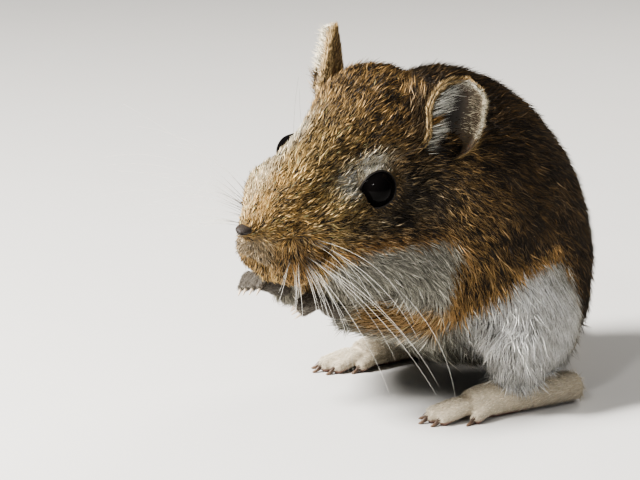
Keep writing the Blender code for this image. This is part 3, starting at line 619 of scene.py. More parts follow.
@dataclass(frozen=True)
class Markings:
    """Where each colour of the coat lies, from the place alone.

    A spot is soft: e^(-d^2) from its centre, in units of its three radii. The spots of the head
    are in its own frame. A spot stands for both sides, apart from the far ones and the patch.
    """

    low: float = 17.5
    # Painted shade in olive grey on the cheek under and behind the eye; the last, small spot behind the
    # whisker pad is partly the real darker recess and partly painted shade.
    dull: tuple = (((12.0, 28.5, 0.0), (5.0, 6.5, 6.0), 0.85),
                   ((11.5, 20.5, -1.6), (4.0, 7.0, 2.3), 0.85),
                   ((7.2, 9.8, -0.4), (1.0, 1.5, 0.5), 0.4))
    band: Spot = ((11.5, 17.0, -4.8), (4.5, 7.5, 1.5))
    brows: tuple[Spot, Spot] = (((7.2, 17.2, 4.6), (1.7, 2.6, 2.0)),
                                ((7.7, 21.2, 5.7), (1.6, 3.3, 1.4)))
    far_brow: Spot = ((-3.6, 16.6, 9.0), (1.5, 3.6, 2.4))
    temple: Spot = ((8.2, 31.5, 8.5), (1.8, 2.4, 4.0))
    # Painted light: the far side of the muzzle is made paler.
    far_muzzle: Spot = ((0.0, 11.0, 4.5), (1.0, 8.0, 5.0))
    fan: Spot = ((6.0, 7.6, -5.4), (3.0, 3.6, 3.4))
    dots: Spot = ((6.7, 6.8, -1.5), (1.5, 1.2, 0.6))
    # Painted shade: black in the notch at the foot of each ear.
    notch: Spot = ((12.6, 33.4, 5.3), (1.5, 2.4, 0.8))
    # Painted shade on the crown beside the far ear.
    patch: Spot = ((-3.3, 30.7, 15.2), (1.5, 1.6, 2.4))
    leg: Spot = ((18.0, 10.0, 12.0), (9.0, 11.0, 14.0))
    behind_paw: Spot = ((8.0, -17.5, 21.0), (6.0, 5.5, 3.6))
    arm: Spot = ((15.0, -8.0, 18.0), (4.6, 8.5, 2.9))
    far_arm: Spot = ((-14.0, -8.0, 24.0), (6.0, 7.0, 5.0))

    def over_line(self, points: Array) -> Array:
        """Height over the line on the side where the white ends: it rises by 0.92 a millimetre
        from the elbow to y = 6.9 and by 0.45 to y = 15.5, and falls again by 1.55."""
        y = points[:, 1]
        line = self.low + 0.92 * np.clip(y - 1.6, -2.6, 5.3) + 0.45 * np.clip(y - 6.9, 0.0, 8.6)
        return points[:, 2] - line + 1.55 * np.clip(y - 15.5, 0.0, 12.0)

    def white(self, points: Array) -> Array:
        """How white the coat is: under the cheeks, on the throat, the belly and the legs.

        On the head it is white behind the pads, under a line that falls from z = -6.2 to z = -7.2
        below the eye. On the body it is white under the line on the side, and in front of the
        shoulder up to z = 30. Noise makes every border ragged.
        """
        head = POSE.to_head(points)
        z, y = points[:, 2], points[:, 1]
        brim = -6.2 - 1.0 * ramp(14.0, 24.0, head[:, 1]) + 1.8 * (noise(points, 1.1, 4) - 0.5)
        cheek = 1.0 - ramp(-0.9, 0.9, head[:, 2] - brim)
        cheek *= 1.0 - ramp(25.0, 32.0, head[:, 1] - 0.35 * (head[:, 2] + 8.0))
        cheek *= ramp(12.2, 13.6, head[:, 1] + 0.35 * (np.abs(head[:, 0]) - 5.0))
        side = 1.0 - ramp(-0.9, 0.9, self.over_line(points) + 1.4 * (noise(points, 1.7, 3) - 0.5))
        ragged = 2.0 * (noise(points, 1.3, 5) - 0.5) + 4.5 * (noise(points, 4.0, 6) - 0.5)
        throat = 1.0 - ramp(-3.0, 0.4, y + 0.02 * (z - 24.0) + ragged)
        throat *= 1.0 - ramp(28.0, 31.0, z)
        return np.maximum(cheek, np.maximum(side, throat) * ramp(11.0, 18.0, head[:, 1]))

    def head_colours(self, head: Array) -> tuple[Array, Array]:
        """The colour and the share of black strands by the place in the head frame.

        Gold and orange on the muzzle turn to the crown's colour and to brown behind the ears. Over
        that lie painted shade in olive grey on the cheek, the rust band under it, the cream brow with
        painted light added, the pale temple, painted light on the far side of the muzzle, the grey lips
        and the browner pads.
        """
        mirror = mirrored(head)
        y, z = head[:, 1], head[:, 2]
        rear, top = ramp(30.0, 42.0, y), ramp(11.0, 27.0, y)
        colour = mixed(Pigment.GOLD, Pigment.ORANGE, (1 - ramp(7.0, 15.0, y)) * 0.6)
        colour = mixed(mixed(colour, Pigment.CROWN, top), Pigment.BROWN, rear)
        ticks = 0.25 + 0.22 * top + 0.20 * rear
        # Painted shade: the cheek turns olive grey and takes more black strands.
        for centre, radii, share in self.dull:
            dull = blob(mirror, centre, radii) * share
            colour = mixed(colour, Pigment.OLIVE_GREY, dull)
            ticks = ticks + 0.26 * dull * (1 - rear)
        brow = np.maximum(blob(mirror, *self.brows[0]), blob(mirror, *self.brows[1]))
        brow = np.clip(np.maximum(brow, 0.45 * blob(head, *self.far_brow)) * 2.2, 0, 1)
        temple = blob(mirror, *self.temple)
        # Painted light on the far side of the muzzle: paler, towards cream, and with fewer black strands.
        side = ramp(0.2, 2.4, -head[:, 0]) * blob(head * (0, 1, 1), *self.far_muzzle)
        lips = np.maximum((1 - ramp(3.4, 6.4, y)) * (1 - ramp(-2.6, 0.0, z)),
                          (1 - ramp(3.0, 6.0, y)) * (1 - ramp(-8.0, -5.5, z)))
        fan = np.clip(1.4 * blob(mirror, *self.fan), 0, 1)
        # The brow's cream is raised to one and a half times: partly its real pale colour, partly painted
        # light.
        for over, share in ((Pigment.RUST, blob(mirror, *self.band) * 0.7),
                            (np.array(Pigment.CREAM) * 1.5, brow), (Pigment.PALE_GREY, temple * 0.7),
                            (Pigment.CREAM, side * 0.55), (Pigment.LIP_GREY, lips * 0.75),
                            (Pigment.FAN_BROWN, fan * 0.85)):
            colour = mixed(colour, over, share)
        ticks = ticks + 0.10 * fan + 0.45 * blob(mirror, *self.dots)
        return colour, (ticks * (1 - 0.9 * brow) * (1 - 0.35 * lips) * (1 - 0.5 * temple)
                        * (1 - 0.6 * side))

    def colours(self, points: Array) -> tuple[Array, Array]:
        """The coat's colour and how much of it is black strands.

        Args:
            points: places in the animal's frame, one a row.

        Returns:
            The colour of each place, and the share of its tufts that are black.
        """
        head, body, y = POSE.to_head(points), mirrored(points), points[:, 1]
        colour, ticks = self.head_colours(head)
        white = self.white(points)
        edge = np.exp(-((white - 0.35) / 0.24) ** 2) * (1 - ramp(20.0, 26.0, y))
        belt = np.exp(-(((self.over_line(points) - 1.2) / 1.15) ** 2)) * ramp(-3.0, 0.0, y)
        belt *= (1 - ramp(14.0, 22.0, y)) * ramp(11.0, 18.0, head[:, 1])
        colour = mixed(mixed(colour, Pigment.RUST, edge * 0.45), Pigment.BELT, belt * 0.85)
        # White fur is SHADED_WHITE everywhere but on the hind legs: partly the grey of its bases, partly
        # painted shade on the cheeks, throat and belly.
        fair = mixed(Pigment.SHADED_WHITE, Pigment.WHITE, ramp(0.25, 0.6, blob(body, *self.leg)))
        colour = mixed(colour, fair, ramp(0.45, 0.85, white))
        ticks = ticks * (1 - 0.6 * edge) * (1 - 0.75 * belt) * (1 - ramp(0.25, 0.75, white))
        arm = ramp(0.2, 0.5, np.maximum(blob(body, *self.arm), blob(points, *self.far_arm)))
        colour = mixed(colour, Pigment.BELT, arm * 0.85)
        ticks = np.where(arm > 0.5, 0.10, ticks)
        shaded = np.clip(1.5 * blob(body, *self.behind_paw), 0, 1)
        # Painted shade: the notch at the foot of each ear is painted black.
        notch = blob(mirrored(head), *self.notch)
        # Painted shade: more black strands in the patch beside the far ear.
        ticks = np.clip(ticks + 1.3 * notch + 0.5 * blob(head, *self.patch), 0.0, 0.98)
        return mixed(mixed(colour, Pigment.OLIVE_GREY, shaded * 0.7), Pigment.BLACK, notch), ticks


MARKINGS = Markings()


# The lie of the hair


@dataclass(frozen=True)
class Lie:
    """Which way the hair points: a weighted mean of the strokes set out below.

    Each stroke is a place and a direction. Its weight is 1 / (d^2 + reach^2)^2, where d is the
    distance from it. The strokes of the left side are mirrored to the right. Below the whorl on
    each whisker pad the hair radiates from it.
    """

    reach: float = 2.0
    whorl: Point = (6.6, 7.2, -1.2)
    whorl_reach: float = 4.6
    parting: float = 1.8
    head: tuple = (
        ((0.0, 3.0, 2.0), (0.0, 1.0, 0.7)), ((0.0, 12.0, 8.2), (0.0, 1.0, 0.6)),
        ((0.0, 22.0, 13.5), (0.0, 1.0, 0.4)), ((0.0, 32.0, 15.6), (0.0, 1.0, 0.0)),
        ((4.2, 5.0, 0.5), (0.45, 1.0, 0.35)), ((6.5, 14.0, 4.0), (0.15, 1.0, 0.5)),
        ((8.6, 17.0, 2.5), (0.2, 1.0, 0.35)), ((6.5, 22.0, 8.0), (0.2, 1.0, 0.5)),
        ((9.5, 29.0, 4.0), (0.3, 1.0, 0.1)), ((10.0, 20.0, -2.5), (0.4, 1.0, -0.25)),
        ((11.0, 27.0, -5.0), (0.4, 1.0, -0.35)), ((6.6, 9.0, 0.2), (0.4, 1.0, 0.3)),
        ((5.4, 4.4, -1.6), (0.5, 0.4, 0.4)), ((6.2, 5.0, -3.6), (0.4, 0.0, -1.0)),
        ((6.6, 8.0, -5.2), (0.5, 0.5, -1.0)), ((7.6, 10.6, -2.6), (0.6, 1.0, -0.25)),
        ((5.2, 9.5, -8.5), (0.2, 0.35, -1.0)), ((3.6, 5.2, -6.2), (0.1, 0.1, -1.0)),
        ((7.5, 16.0, -8.0), (0.3, 1.0, -0.7)), ((2.0, 3.0, -3.2), (0.5, 0.5, -0.9)),
        ((0.0, 8.0, -10.5), (0.0, 1.0, -0.5)), ((4.0, 15.0, -11.5), (0.2, 1.0, -0.7)),
        ((3.0, 37.0, 14.0), (0.0, 1.0, -0.1)), ((8.0, 30.0, 9.5), (0.0, 0.9, 0.5)),
        ((6.6, 32.5, 12.5), (0.2, 0.4, 1.0)), ((9.5, 32.0, 8.0), (0.3, 0.5, 0.9)),
    )
    body: tuple = (
        ((0.0, -6.0, 52.0), (0.0, 1.0, 0.1)), ((0.0, 10.0, 53.0), (0.0, 1.0, -0.15)),
        ((0.0, 22.0, 45.0), (0.0, 0.8, -0.7)), ((0.0, 29.0, 28.0), (0.0, 0.2, -1.0)),
        ((14.0, -3.0, 43.0), (0.2, 0.9, -0.5)), ((16.0, -3.0, 34.0), (0.2, 0.8, -0.7)),
        ((19.0, 8.0, 38.0), (0.1, 0.75, -0.75)), ((17.0, 20.0, 32.0), (0.0, 0.5, -0.9)),
        ((20.0, 9.0, 25.0), (0.0, 0.45, -0.9)), ((21.0, 14.0, 17.0), (0.0, 0.15, -1.0)),
        ((20.0, 8.0, 14.0), (0.0, 0.0, -1.0)), ((17.0, 9.0, 9.0), (0.0, 0.0, -1.0)),
        ((15.0, -14.0, 26.0), (0.3, 0.7, -0.7)), ((17.0, -5.0, 27.0), (0.1, 0.45, -0.9)),
        ((6.0, -24.0, 26.0), (0.1, 0.3, -1.0)), ((4.0, -18.0, 18.0), (0.0, 0.2, -1.0)),
        ((0.0, 0.0, 7.0), (0.0, 1.0, -0.2)), ((16.0, -2.0, 20.0), (0.0, 0.1, -1.0)),
        ((15.5, -4.5, 18.0), (-0.1, -1.0, -0.25)), ((14.0, -10.5, 18.5), (-0.2, -1.0, 0.05)),
        ((11.0, -17.0, 18.5), (-0.35, -0.9, 0.05)), ((17.0, 2.0, 16.0), (0.0, 0.4, -0.9)),
    )

    def strokes(self) -> tuple[Array, Array]:
        """All places and directions in the animal's frame, both sides."""
        places, ways = [], []
        for side in Side:
            for place, way in self.head:
                places.append(POSE.spot(side, place))
                ways.append(POSE.heading(side, way))
            for place, way in self.body:
                places.append(side.of(place))
                ways.append(side.of(way))
        return np.array(places), unit(np.array(ways))

    def along(self, points: Array, normals: Array) -> Array:
        """The direction of the hair at each place, laid into the surface and parted round the eyes.

        Args:
            points: the places, one a row.
            normals: the surface's outward normals there.

        Returns:
            A unit vector for each place.
        """
        total = np.zeros_like(points)
        for place, way in zip(*self.strokes()):
            gap = ((points - place) ** 2).sum(axis=1) + self.reach**2
            total += way / gap[:, None] ** 2
        total = unit(total)
        for side in Side:
            head = POSE.to_head(points) * (side.value, 1.0, 1.0)
            away = unit(points - POSE.spot(side, self.whorl))
            near = blob(head, self.whorl, (self.whorl_reach,) * 3)
            near *= (1 - ramp(-1.6, -0.4, head[:, 2])) * ramp(1.0, 2.5, head[:, 0])
            total = unit(total * (1 - 0.9 * near)[:, None] + away * near[:, None])
        for side in Side:
            away = points - OPENING.axes(side)[0]
            near = np.exp(-((np.linalg.norm(away, axis=1) - POSE.eye_radius) / self.parting) ** 2)
            total = unit(total + laid_into(away, total) * near[:, None] * 0.9)
        return laid_into(total, normals)


LIE = Lie()


# Surfaces that hair grows on


@dataclass
class Surface:
    """A triangulated skin: places and outward normals in the animal's frame, and its triangles."""

    points: Array
    triangles: Array
    normals: Array = field(init=False)

    def __post_init__(self) -> None:
        """Works out the normal of each point as the area-weighted mean over its triangles."""
        self.renew()

    def renew(self) -> None:
        """Works out the normals anew after the points have moved."""
        a, b, c = (self.points[self.triangles[:, i]] for i in range(3))
        cross = np.cross(b - a, c - a)
        total = np.zeros_like(self.points)
        for i in range(3):
            for axis in range(3):
                total[:, axis] += np.bincount(self.triangles[:, i], cross[:, axis], len(total))
        self.normals = unit(total)

    def scatter(self, count: int, weight: Array, rng: np.random.Generator) -> tuple[Array, Array]:
        """Even random places: area times weight is summed over the triangles, and the k-th place
        falls where that sum passes (k + random) / count of the whole.

        Args:
            count: how many places.
            weight: how thickly they stand at each point of the surface.
            rng: the seeded source of the random draws.

        Returns:
            The places and their normals.
        """
        a, b, c = (self.points[self.triangles[:, i]] for i in range(3))
        area = np.linalg.norm(np.cross(b - a, c - a), axis=1) * weight[self.triangles].mean(axis=1)
        sums = np.cumsum(area)
        marks = (np.arange(count) + rng.random(count)) / count * sums[-1]
        pick = np.minimum(np.searchsorted(sums, marks), len(area) - 1)
        s, t = rng.random(count), rng.random(count)
        flip = s + t > 1
        s, t = np.where(flip, 1 - s, s)[:, None], np.where(flip, 1 - t, t)[:, None]
        n = self.normals[self.triangles[pick]]
        places = a[pick] * (1 - s - t) + b[pick] * s + c[pick] * t
        return places, unit(n[:, 0] * (1 - s - t) + n[:, 1] * s + n[:, 2] * t)


def remeshed(points: Array, faces: Array, voxel: float, rounds: int) -> Surface:
    """One smooth skin over overlapping closed bodies, by a voxel remesh and Laplacian smoothing.

    Args:
        points: places of all bodies, in the animal's frame.
        faces: their triangles.
        voxel: size of the voxels.
        rounds: rounds of smoothing, each moving a point half way to its neighbours' mean.

    Returns:
        The skin.
    """
    mesh = bpy.data.meshes.new("flesh")
    mesh.from_pydata((points * MM).tolist(), [], faces.tolist())
    holder = new_object("flesh", mesh)
    wrap = holder.modifiers.new("Wrap", "REMESH")
    wrap.mode = "VOXEL"
    wrap.voxel_size = voxel * MM
    soften = holder.modifiers.new("Soften", "SMOOTH")
    soften.factor = 0.5
    soften.iterations = rounds
    graph = bpy.context.evaluated_depsgraph_get()
    result = bpy.data.meshes.new_from_object(holder.evaluated_get(graph), depsgraph=graph)
    places, triangles = mesh_arrays(result)
    bpy.data.objects.remove(holder)
    bpy.data.meshes.remove(mesh)
    bpy.data.meshes.remove(result)
    return Surface(places.astype(float) / MM, triangles)


def mesh_arrays(mesh: bpy.types.Mesh) -> tuple[Array, Array]:
    """The places of a mesh, in its own unit, and its triangles."""
    mesh.calc_loop_triangles()
    places = np.empty(len(mesh.vertices) * 3, np.float32)
    mesh.vertices.foreach_get("co", places)
    triangles = np.empty(len(mesh.loop_triangles) * 3, np.int32)
    mesh.loop_triangles.foreach_get("vertices", triangles)
    return places.reshape(-1, 3), triangles.reshape(-1, 3)


def node_surface(name: str) -> Surface:
    """A CAD node's mesh with its loose corners merged, in the animal's frame."""
    places, triangles = mesh_arrays(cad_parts[name].data)
    unique, inverse = np.unique(np.round(places / MM, 3), axis=0, return_inverse=True)
    corners = inverse.ravel()[triangles]
    whole = (corners != np.roll(corners, -1, axis=1)).all(axis=1)
    return Surface(POSE.from_row(unique * MM), corners[whole])


def from_eye(head: Array) -> Array:
    """How far places of the head frame are from the middle of the nearer eye."""
    return np.linalg.norm(mirrored(head) - np.array(POSE.eye), axis=1)


@dataclass
class Skin:
    """The one skin that stands for all the flesh, under the coat by the coat's depth."""

    nodes: tuple[str, ...] = (
        "head", "neck", "torso", "lower_jaw", "left_upper_arm", "right_upper_arm",
        "left_forearm", "right_forearm", "left_thigh", "right_thigh", "left_shank",
        "right_shank")
    swell: float = 0.22
    voxel: float = 0.38
    rounds: int = 7
    socket: float = 3.85
    pads: tuple = (((2.8, 7.7, -2.4), (2.7, 4.5, 3.8)), ((3.9, 9.6, -6.4), (3.0, 4.8, 4.9)),
                   ((5.6, 11.8, -1.2), (2.8, 3.6, 3.2)))
    pad_turn: float = -20.0
    tip: Spot = ((0.0, 2.9, -0.1), (2.1, 2.6, 2.0))
    forehead: Spot = ((0.0, 29.0, 15.0), (9.0, 7.0, 4.0))
    nape: Spot = ((1.0, 36.0, 14.0), (8.0, 4.0, 5.0))
    arm: Spot = ((12.0, -13.0, 18.0), (5.0, 8.0, 4.0))
    shin: Spot = ((17.0, 9.5, 3.0), (8.0, 9.0, 5.0))
    lid_depth: float = 0.22
    lid_gap: float = 0.05
    lid_rise: float = 0.9
    lid_reach: float = 24.0
    well: float = 0.9
    surface: Surface = field(init=False)

    def depth(self, points: Array) -> Array:
        """How deep the skin lies under the outer surface: 0.3 on the muzzle, 1.15 on the back, and
        less on the forehead, the limbs and round the eyes."""
        head = POSE.to_head(points)
        depth = 0.30 + 0.20 * ramp(8.0, 22.0, head[:, 1]) + 0.65 * ramp(28.0, 42.0, head[:, 1])
        depth -= 0.9 * blob(head, *self.forehead)
        depth -= 0.4 * blob(head, *self.nape)
        body = mirrored(points)
        limb = np.maximum(blob(body, *self.arm), blob(body, *self.shin))
        depth *= 1 - 0.6 * np.clip(limb * 1.5, 0, 1)
        return depth + (self.lid_depth - depth) * (1 - ramp(4.0, 7.5, from_eye(head)))

    def flesh(self) -> tuple[Array, Array]:
        """All bodies of flesh, each swollen a little to close the thin cuts between them."""
        bodies = []
        for name in self.nodes:
            body = node_surface(name)
            bodies.append((body.points + body.normals * self.swell, body.triangles))
        for side in Side:
            turn = np.array(rotation(self.pad_turn * side.value, "Z"))
            balls = [ball(side.of(centre), radii, turn) for centre, radii in self.pads]
            balls.append(ball(side.of(POSE.eye), (self.socket,) * 3))
            bodies += [(POSE.from_head(points), faces) for points, faces in balls]
        points, faces = ball(*self.tip)
        bodies.append((POSE.from_head(points), faces))
        return merged(bodies)

    def open_eyes(self) -> None:
        """Sinks the skin behind each eyeball within the lids' gap and lays the lids on its edge.

        Outside the gap the skin rises from the ball's surface by lid_gap plus lid_rise times s,
        where s is the share that is passed of the next lid_reach degrees.
        """
        for side in Side:
            centre = OPENING.axes(side)[0]
            reach, angle, turn = OPENING.polar(side, self.surface.points)
            beyond = angle - OPENING.limit(turn)
            near = reach < self.socket + 1.5
            goal = np.where(near & (beyond < 0), POSE.eye_radius - self.well, reach)
            hug = (POSE.eye_radius + self.lid_gap
                   + self.lid_rise * np.clip(beyond / self.lid_reach, 0.0, 1.0))
            lid = near & (beyond >= 0) & (beyond < self.lid_reach)
            goal = np.where(lid, np.minimum(reach, hug), goal)
            away = unit(self.surface.points - centre)
            self.surface.points = centre + away * goal[:, None]

    def build(self) -> "Skin":
        """Makes the skin's surface and its piece."""
        self.surface = remeshed(*self.flesh(), self.voxel, self.rounds)
        depth = self.depth(self.surface.points) + self.swell
        self.surface.points -= self.surface.normals * depth[:, None]
        self.open_eyes()
        self.surface.renew()
        colour, ticks = MARKINGS.colours(self.surface.points)
        white = MARKINGS.white(self.surface.points)
        # The skin's colour is the coat's at about a third, less under black strands and more under white:
        # partly the darker underfur, partly painted shade between the tufts.
        mesh_piece("skin", self.surface.points, self.surface.triangles, UNDERFUR, "agouti_coat",
                   self.nodes, colour * (0.30 - 0.22 * ticks + 0.12 * white)[:, None])
        return self


# Tufts of hair


@dataclass
class Tufts:
    """Many thin closed tufts as one mesh.

    A tuft's middle line is root + L (t cos(lift) along + (t sin(lift) - bend t^2) out
    + swing t^2 across). Its section is a triangle of half width w, which tapers to a point: from
    0.9 w at the root where it is straight, else from 0.75 w over 0.85 w half way.
    """

    roots: Array
    outward: Array
    along: Array
    length: Array
    width: Array
    lift: Array
    swing: Array
    bend: Array | float = 0.0
    straight: bool = True
    sunk: float = 0.05
    clearance: float = 0.12
    flat: float = 0.7

    def __post_init__(self) -> None:
        """Shortens every tuft that would dip under the floor."""
        fall = np.maximum(self.roots[:, 2] - self.spine(1.0)[:, 2], 1e-3)
        room = np.maximum(self.roots[:, 2] - self.clearance, 0.05)
        self.length = self.length * np.minimum(1.0, room / fall)

    def spine(self, share: float) -> Array:
        """The middle line's point at a share of each tuft's length."""
        across = np.cross(self.outward, self.along)
        forward = np.cos(self.lift) * share
        upward = np.sin(self.lift) * share - self.bend * share**2
        sideways = self.swing * share**2
        way = (forward[:, None] * self.along + upward[:, None] * self.outward
               + sideways[:, None] * across)
        start = self.roots - self.outward * (self.sunk * self.length + 0.02)[:, None]
        return start + way * self.length[:, None]

    def ring(self, share: float, width: float) -> Array:
        """The section's three corners at a share of the length."""
        across = np.cross(self.outward, self.along)
        middle = self.spine(share)
        sides = []
        for turn in np.radians((90.0, 210.0, 330.0)):
            reach = math.cos(turn) * across + math.sin(turn) * self.outward * self.flat
            sides.append(middle + reach * (self.width * width)[:, None])
        return np.stack(sides, axis=1)

    def mesh(self) -> tuple[Array, Array, Array]:
        """All tufts as one mesh.

        Returns:
            The points, the triangles, and the share of the length at each point of one tuft.
        """
        count = len(self.roots)
        tip = self.spine(1.0)[:, None]
        if self.straight:
            points = np.concatenate([self.ring(0.0, 0.9), tip], axis=1)
            shares = np.array((0.0, 0.0, 0.0, 1.0))
            faces = np.array(((0, 2, 1), (0, 1, 3), (1, 2, 3), (2, 0, 3)))
        else:
            points = np.concatenate([self.ring(0.0, 0.75), self.ring(0.5, 0.85), tip], axis=1)
            shares = np.array((0.0, 0.0, 0.0, 0.5, 0.5, 0.5, 1.0))
            faces = np.array(((0, 2, 1), (0, 1, 4), (0, 4, 3), (1, 2, 5), (1, 5, 4), (2, 0, 3),
                              (2, 3, 5), (3, 4, 6), (4, 5, 6), (5, 3, 6)))
        points[..., 2] = np.maximum(points[..., 2], FLOOR_GAP)
        everything = faces[None] + np.arange(count)[:, None, None] * len(shares)
        return points.reshape(-1, 3), everything.reshape(-1, 3), shares


PATCH = 0.003
MARGIN = 2 * PATCH


def on_map(spots: Array) -> Array:
    """Spots of the unit square, moved in from its edges by the margin."""
    return spots * (1 - 2 * MARGIN) + MARGIN


def unwrapped(points: Array, centre: Point | Array, axis: Point) -> Array:
    """A place's spot on an unwrap round an axis: the angle round it, and the way along it."""
    axis = unit(np.array(axis, float))
    one = unit(np.cross(axis, (0.31, 0.2, 0.93)))
    two = np.cross(axis, one)
    away = points - np.array(centre)
    around = np.arctan2(away @ two, away @ one) / (2 * math.pi) + 0.5
    forth = away @ axis
    return on_map(np.stack([around, (forth - forth.min()) / max(np.ptp(forth), 1e-6)], axis=1))


def grow(name: str, tufts: Tufts, colours: tuple[Array, Array, Array], spots: Array, slot: str
         ) -> None:
    """Makes a piece of coat, with its colours and its map.

    Args:
        name: the piece's name.
        tufts: its tufts.
        colours: the colour of each tuft at its root, half way and at its tip.
        spots: each root's place on the unwrap.
        slot: the record's material slot.
    """
    points, faces, shares = tufts.mesh()
    root, middle, tip = (colour[:, None] for colour in colours)
    low, high = (np.clip(shares * 2 - less, 0, 1)[None, :, None] for less in (0, 1))
    blend = root * (1 - low) + middle * (low - high) + tip * high
    piece = mesh_piece(name, points, faces, HAIR, slot, colours=blend.reshape(-1, 3))
    corner = np.arange(len(shares)) % 3 - 1.0
    patch = np.stack([corner * PATCH / 2, (shares - 0.5) * PATCH], axis=1)
    layer = piece.data.uv_layers.new(name="OFBake")
    uv = (spots[:, None] + patch[None]).reshape(-1, 2)
    layer.data.foreach_set("uv", uv[faces.ravel()].astype(np.float32).ravel())


def short_fur(skin: Surface, weight: Array, count: int, way: Array, stray: float,
              reach: Callable[[Array], Array], spread: tuple[float, float], width: float,
              rng: np.random.Generator) -> Tufts:
    """Short straight hairs that lie much the same way.

    Args:
        skin: what they stand on.
        weight: how thickly they stand at each of its points.
        count: how many there are.
        way: which way they lie.
        stray: how far each strays from it.
        reach: their length from their places.
        spread: the least and the greatest factor of the length.
        width: their mean half width.
        rng: the seeded source of the random draws.

    Returns:
        The hairs.
    """
    roots, outward = skin.scatter(count, weight, rng)
    along = laid_into(way + rng.normal(0, stray, (count, 3)), outward)
    return Tufts(roots, outward, along, reach(roots) * rng.uniform(*spread, count),
                 width * rng.uniform(0.8, 1.3, count), np.radians(rng.uniform(6, 22, count)),
                 rng.normal(0, 0.1, count))


@dataclass(frozen=True)
class Strands:
    """How the colours of single tufts stray from the markings."""

    stray: float = 0.4
    clump: float = 0.75
    clump_swing: float = 0.9
    tone: float = 0.9
    tone_spread: float = 0.32
    black_spread: float = 0.35
    shaded: float = 0.22
    shade: float = 0.45
    tick_clump: float = 1.3
    light: float = 0.26
    brightest: float = 0.86

    def colours(self, points: Array, rng: np.random.Generator) -> tuple[Array, Array, Array]:
        """The colours of tufts from the markings near their roots.

        Args:
            points: the roots.
            rng: the seeded source of the random draws.

        Returns:
            The root, middle and tip colour of each tuft.
        """
        count = len(points)
        strayed = points + rng.normal(0.0, self.stray, points.shape)
        colour, ticks = MARKINGS.colours(strayed)
        white = MARKINGS.white(strayed)
        swing = self.clump_swing * (noise(points, self.clump, 11) - 0.5) * (1 - 0.3 * white)
        tone = self.tone * np.exp(rng.normal(0.0, self.tone_spread, count) + swing)
        tone = np.where(rng.random(count) < self.shaded * white, self.shade * tone, tone)
        chance = ticks * (1 + 1.5 * (noise(points, self.tick_clump, 12) - 0.5))
        kind = rng.random(count)
        dark = (kind < chance)[:, None]
        light = (kind > 1 - self.light * (1 - ticks))[:, None]
        black = np.array(Pigment.BLACK) * np.exp(rng.normal(0.0, self.black_spread, count))[:, None]
        face = 1 - ramp(12.0, 30.0, POSE.to_head(points)[:, 1])
        cream = mixed(colour * 1.35, Pigment.CREAM, 0.06 + 0.20 * face) * tone[:, None]
        middle = np.where(dark, black * 1.5, np.where(light, cream, colour * tone[:, None]))
        tip = np.where(dark, black, np.where(light, cream * 1.1, middle * 1.1))
        root = mixed(middle * 0.40, Pigment.SLATE, 0.6 * (1 - white))
        return root, middle, np.minimum(tip, self.brightest)


STRANDS = Strands()


# The coat of the head and the body


@dataclass
class Pelage:
    """One kind of hair over one part of the skin."""

    name: str
    count: int
    seed: int
    where: Callable[[Array], Array]
    length: Callable[[Array], Array]
    width: float
    lift: float
    bend: float
    spread: float = 0.25
    wave: float = 0.4
    straight: bool = False
    slot: str = "agouti_coat"
    centre: Point = (0.0, 0.0, 26.0)
    axis: Point = (0.0, 1.0, 0.05)
    lengths: tuple[float, float] = (0.7, 1.25)
    widths: tuple[float, float] = (0.75, 1.3)
    lifts: tuple[float, float] = (0.5, 1.5)
    bends: tuple[float, float] = (0.5, 1.3)

    def build(self, surface: Surface) -> None:
        """Grows this hair on a surface."""
        rng = np.random.default_rng(self.seed)
        roots, outward = surface.scatter(self.count, self.where(surface.points), rng)
        along = LIE.along(roots, outward)
        across = np.cross(outward, along)
        wave = self.wave * 2 * (noise(roots, 1.9, 31) - 0.5)
        turn = (rng.normal(0.0, self.spread, self.count) + wave)[:, None]
        along = unit(along * np.cos(turn) + across * np.sin(turn))
        length = self.length(roots) * rng.uniform(*self.lengths, self.count)
        lift = np.radians(self.lift) * rng.uniform(*self.lifts, self.count)
        width = self.width * rng.uniform(*self.widths, self.count)
        tufts = Tufts(
            roots, outward, along, length,
            width=width * np.clip(length, 0.6, 1.6) ** 0.3,
            lift=lift * (0.6 + 0.8 * noise(roots, 1.4, 32)),
            bend=self.bend * rng.uniform(*self.bends, self.count),
            swing=rng.normal(0.0, 0.10, self.count),
            straight=self.straight)
        grow(self.name, tufts, STRANDS.colours(roots, rng),
             unwrapped(roots, self.centre, self.axis), self.slot)


def by_paws(points: Array) -> Array:
    """The share of its length that hair keeps: 0.35 by the forepaws and 1 away from them."""
    spot = blob(mirrored(points), (9.0, -17.0, 20.5), (6.0, 5.0, 3.6))
    return 1 - 0.65 * np.clip(1.4 * spot, 0, 1)


def face_length(points: Array) -> Array:
    """Length of the head's hair: 1.05 on the nose, 1.7 on the forehead, 2.6 on pads and nape and
    more before the ears and under the cheeks, and half of that at the edge of the lids."""
    head = POSE.to_head(points)
    mirror = mirrored(head)
    length = 1.05 + 0.65 * ramp(3.0, 14.0, head[:, 1]) + 0.9 * ramp(26.0, 38.0, head[:, 1])
    length += 1.5 * (1 - ramp(-8.0, -5.0, head[:, 2])) * ramp(11.0, 15.0, head[:, 1])
    length += 0.9 * blob(mirror, (6.2, 8.0, -5.0), (3.0, 4.5, 3.2))
    length += 1.4 * blob(mirror, (8.3, 33.0, 9.5), (3.6, 2.6, 6.0))
    return length * by_paws(points) * (0.5 + 0.5 * ramp(3.6, 6.0, from_eye(head)))


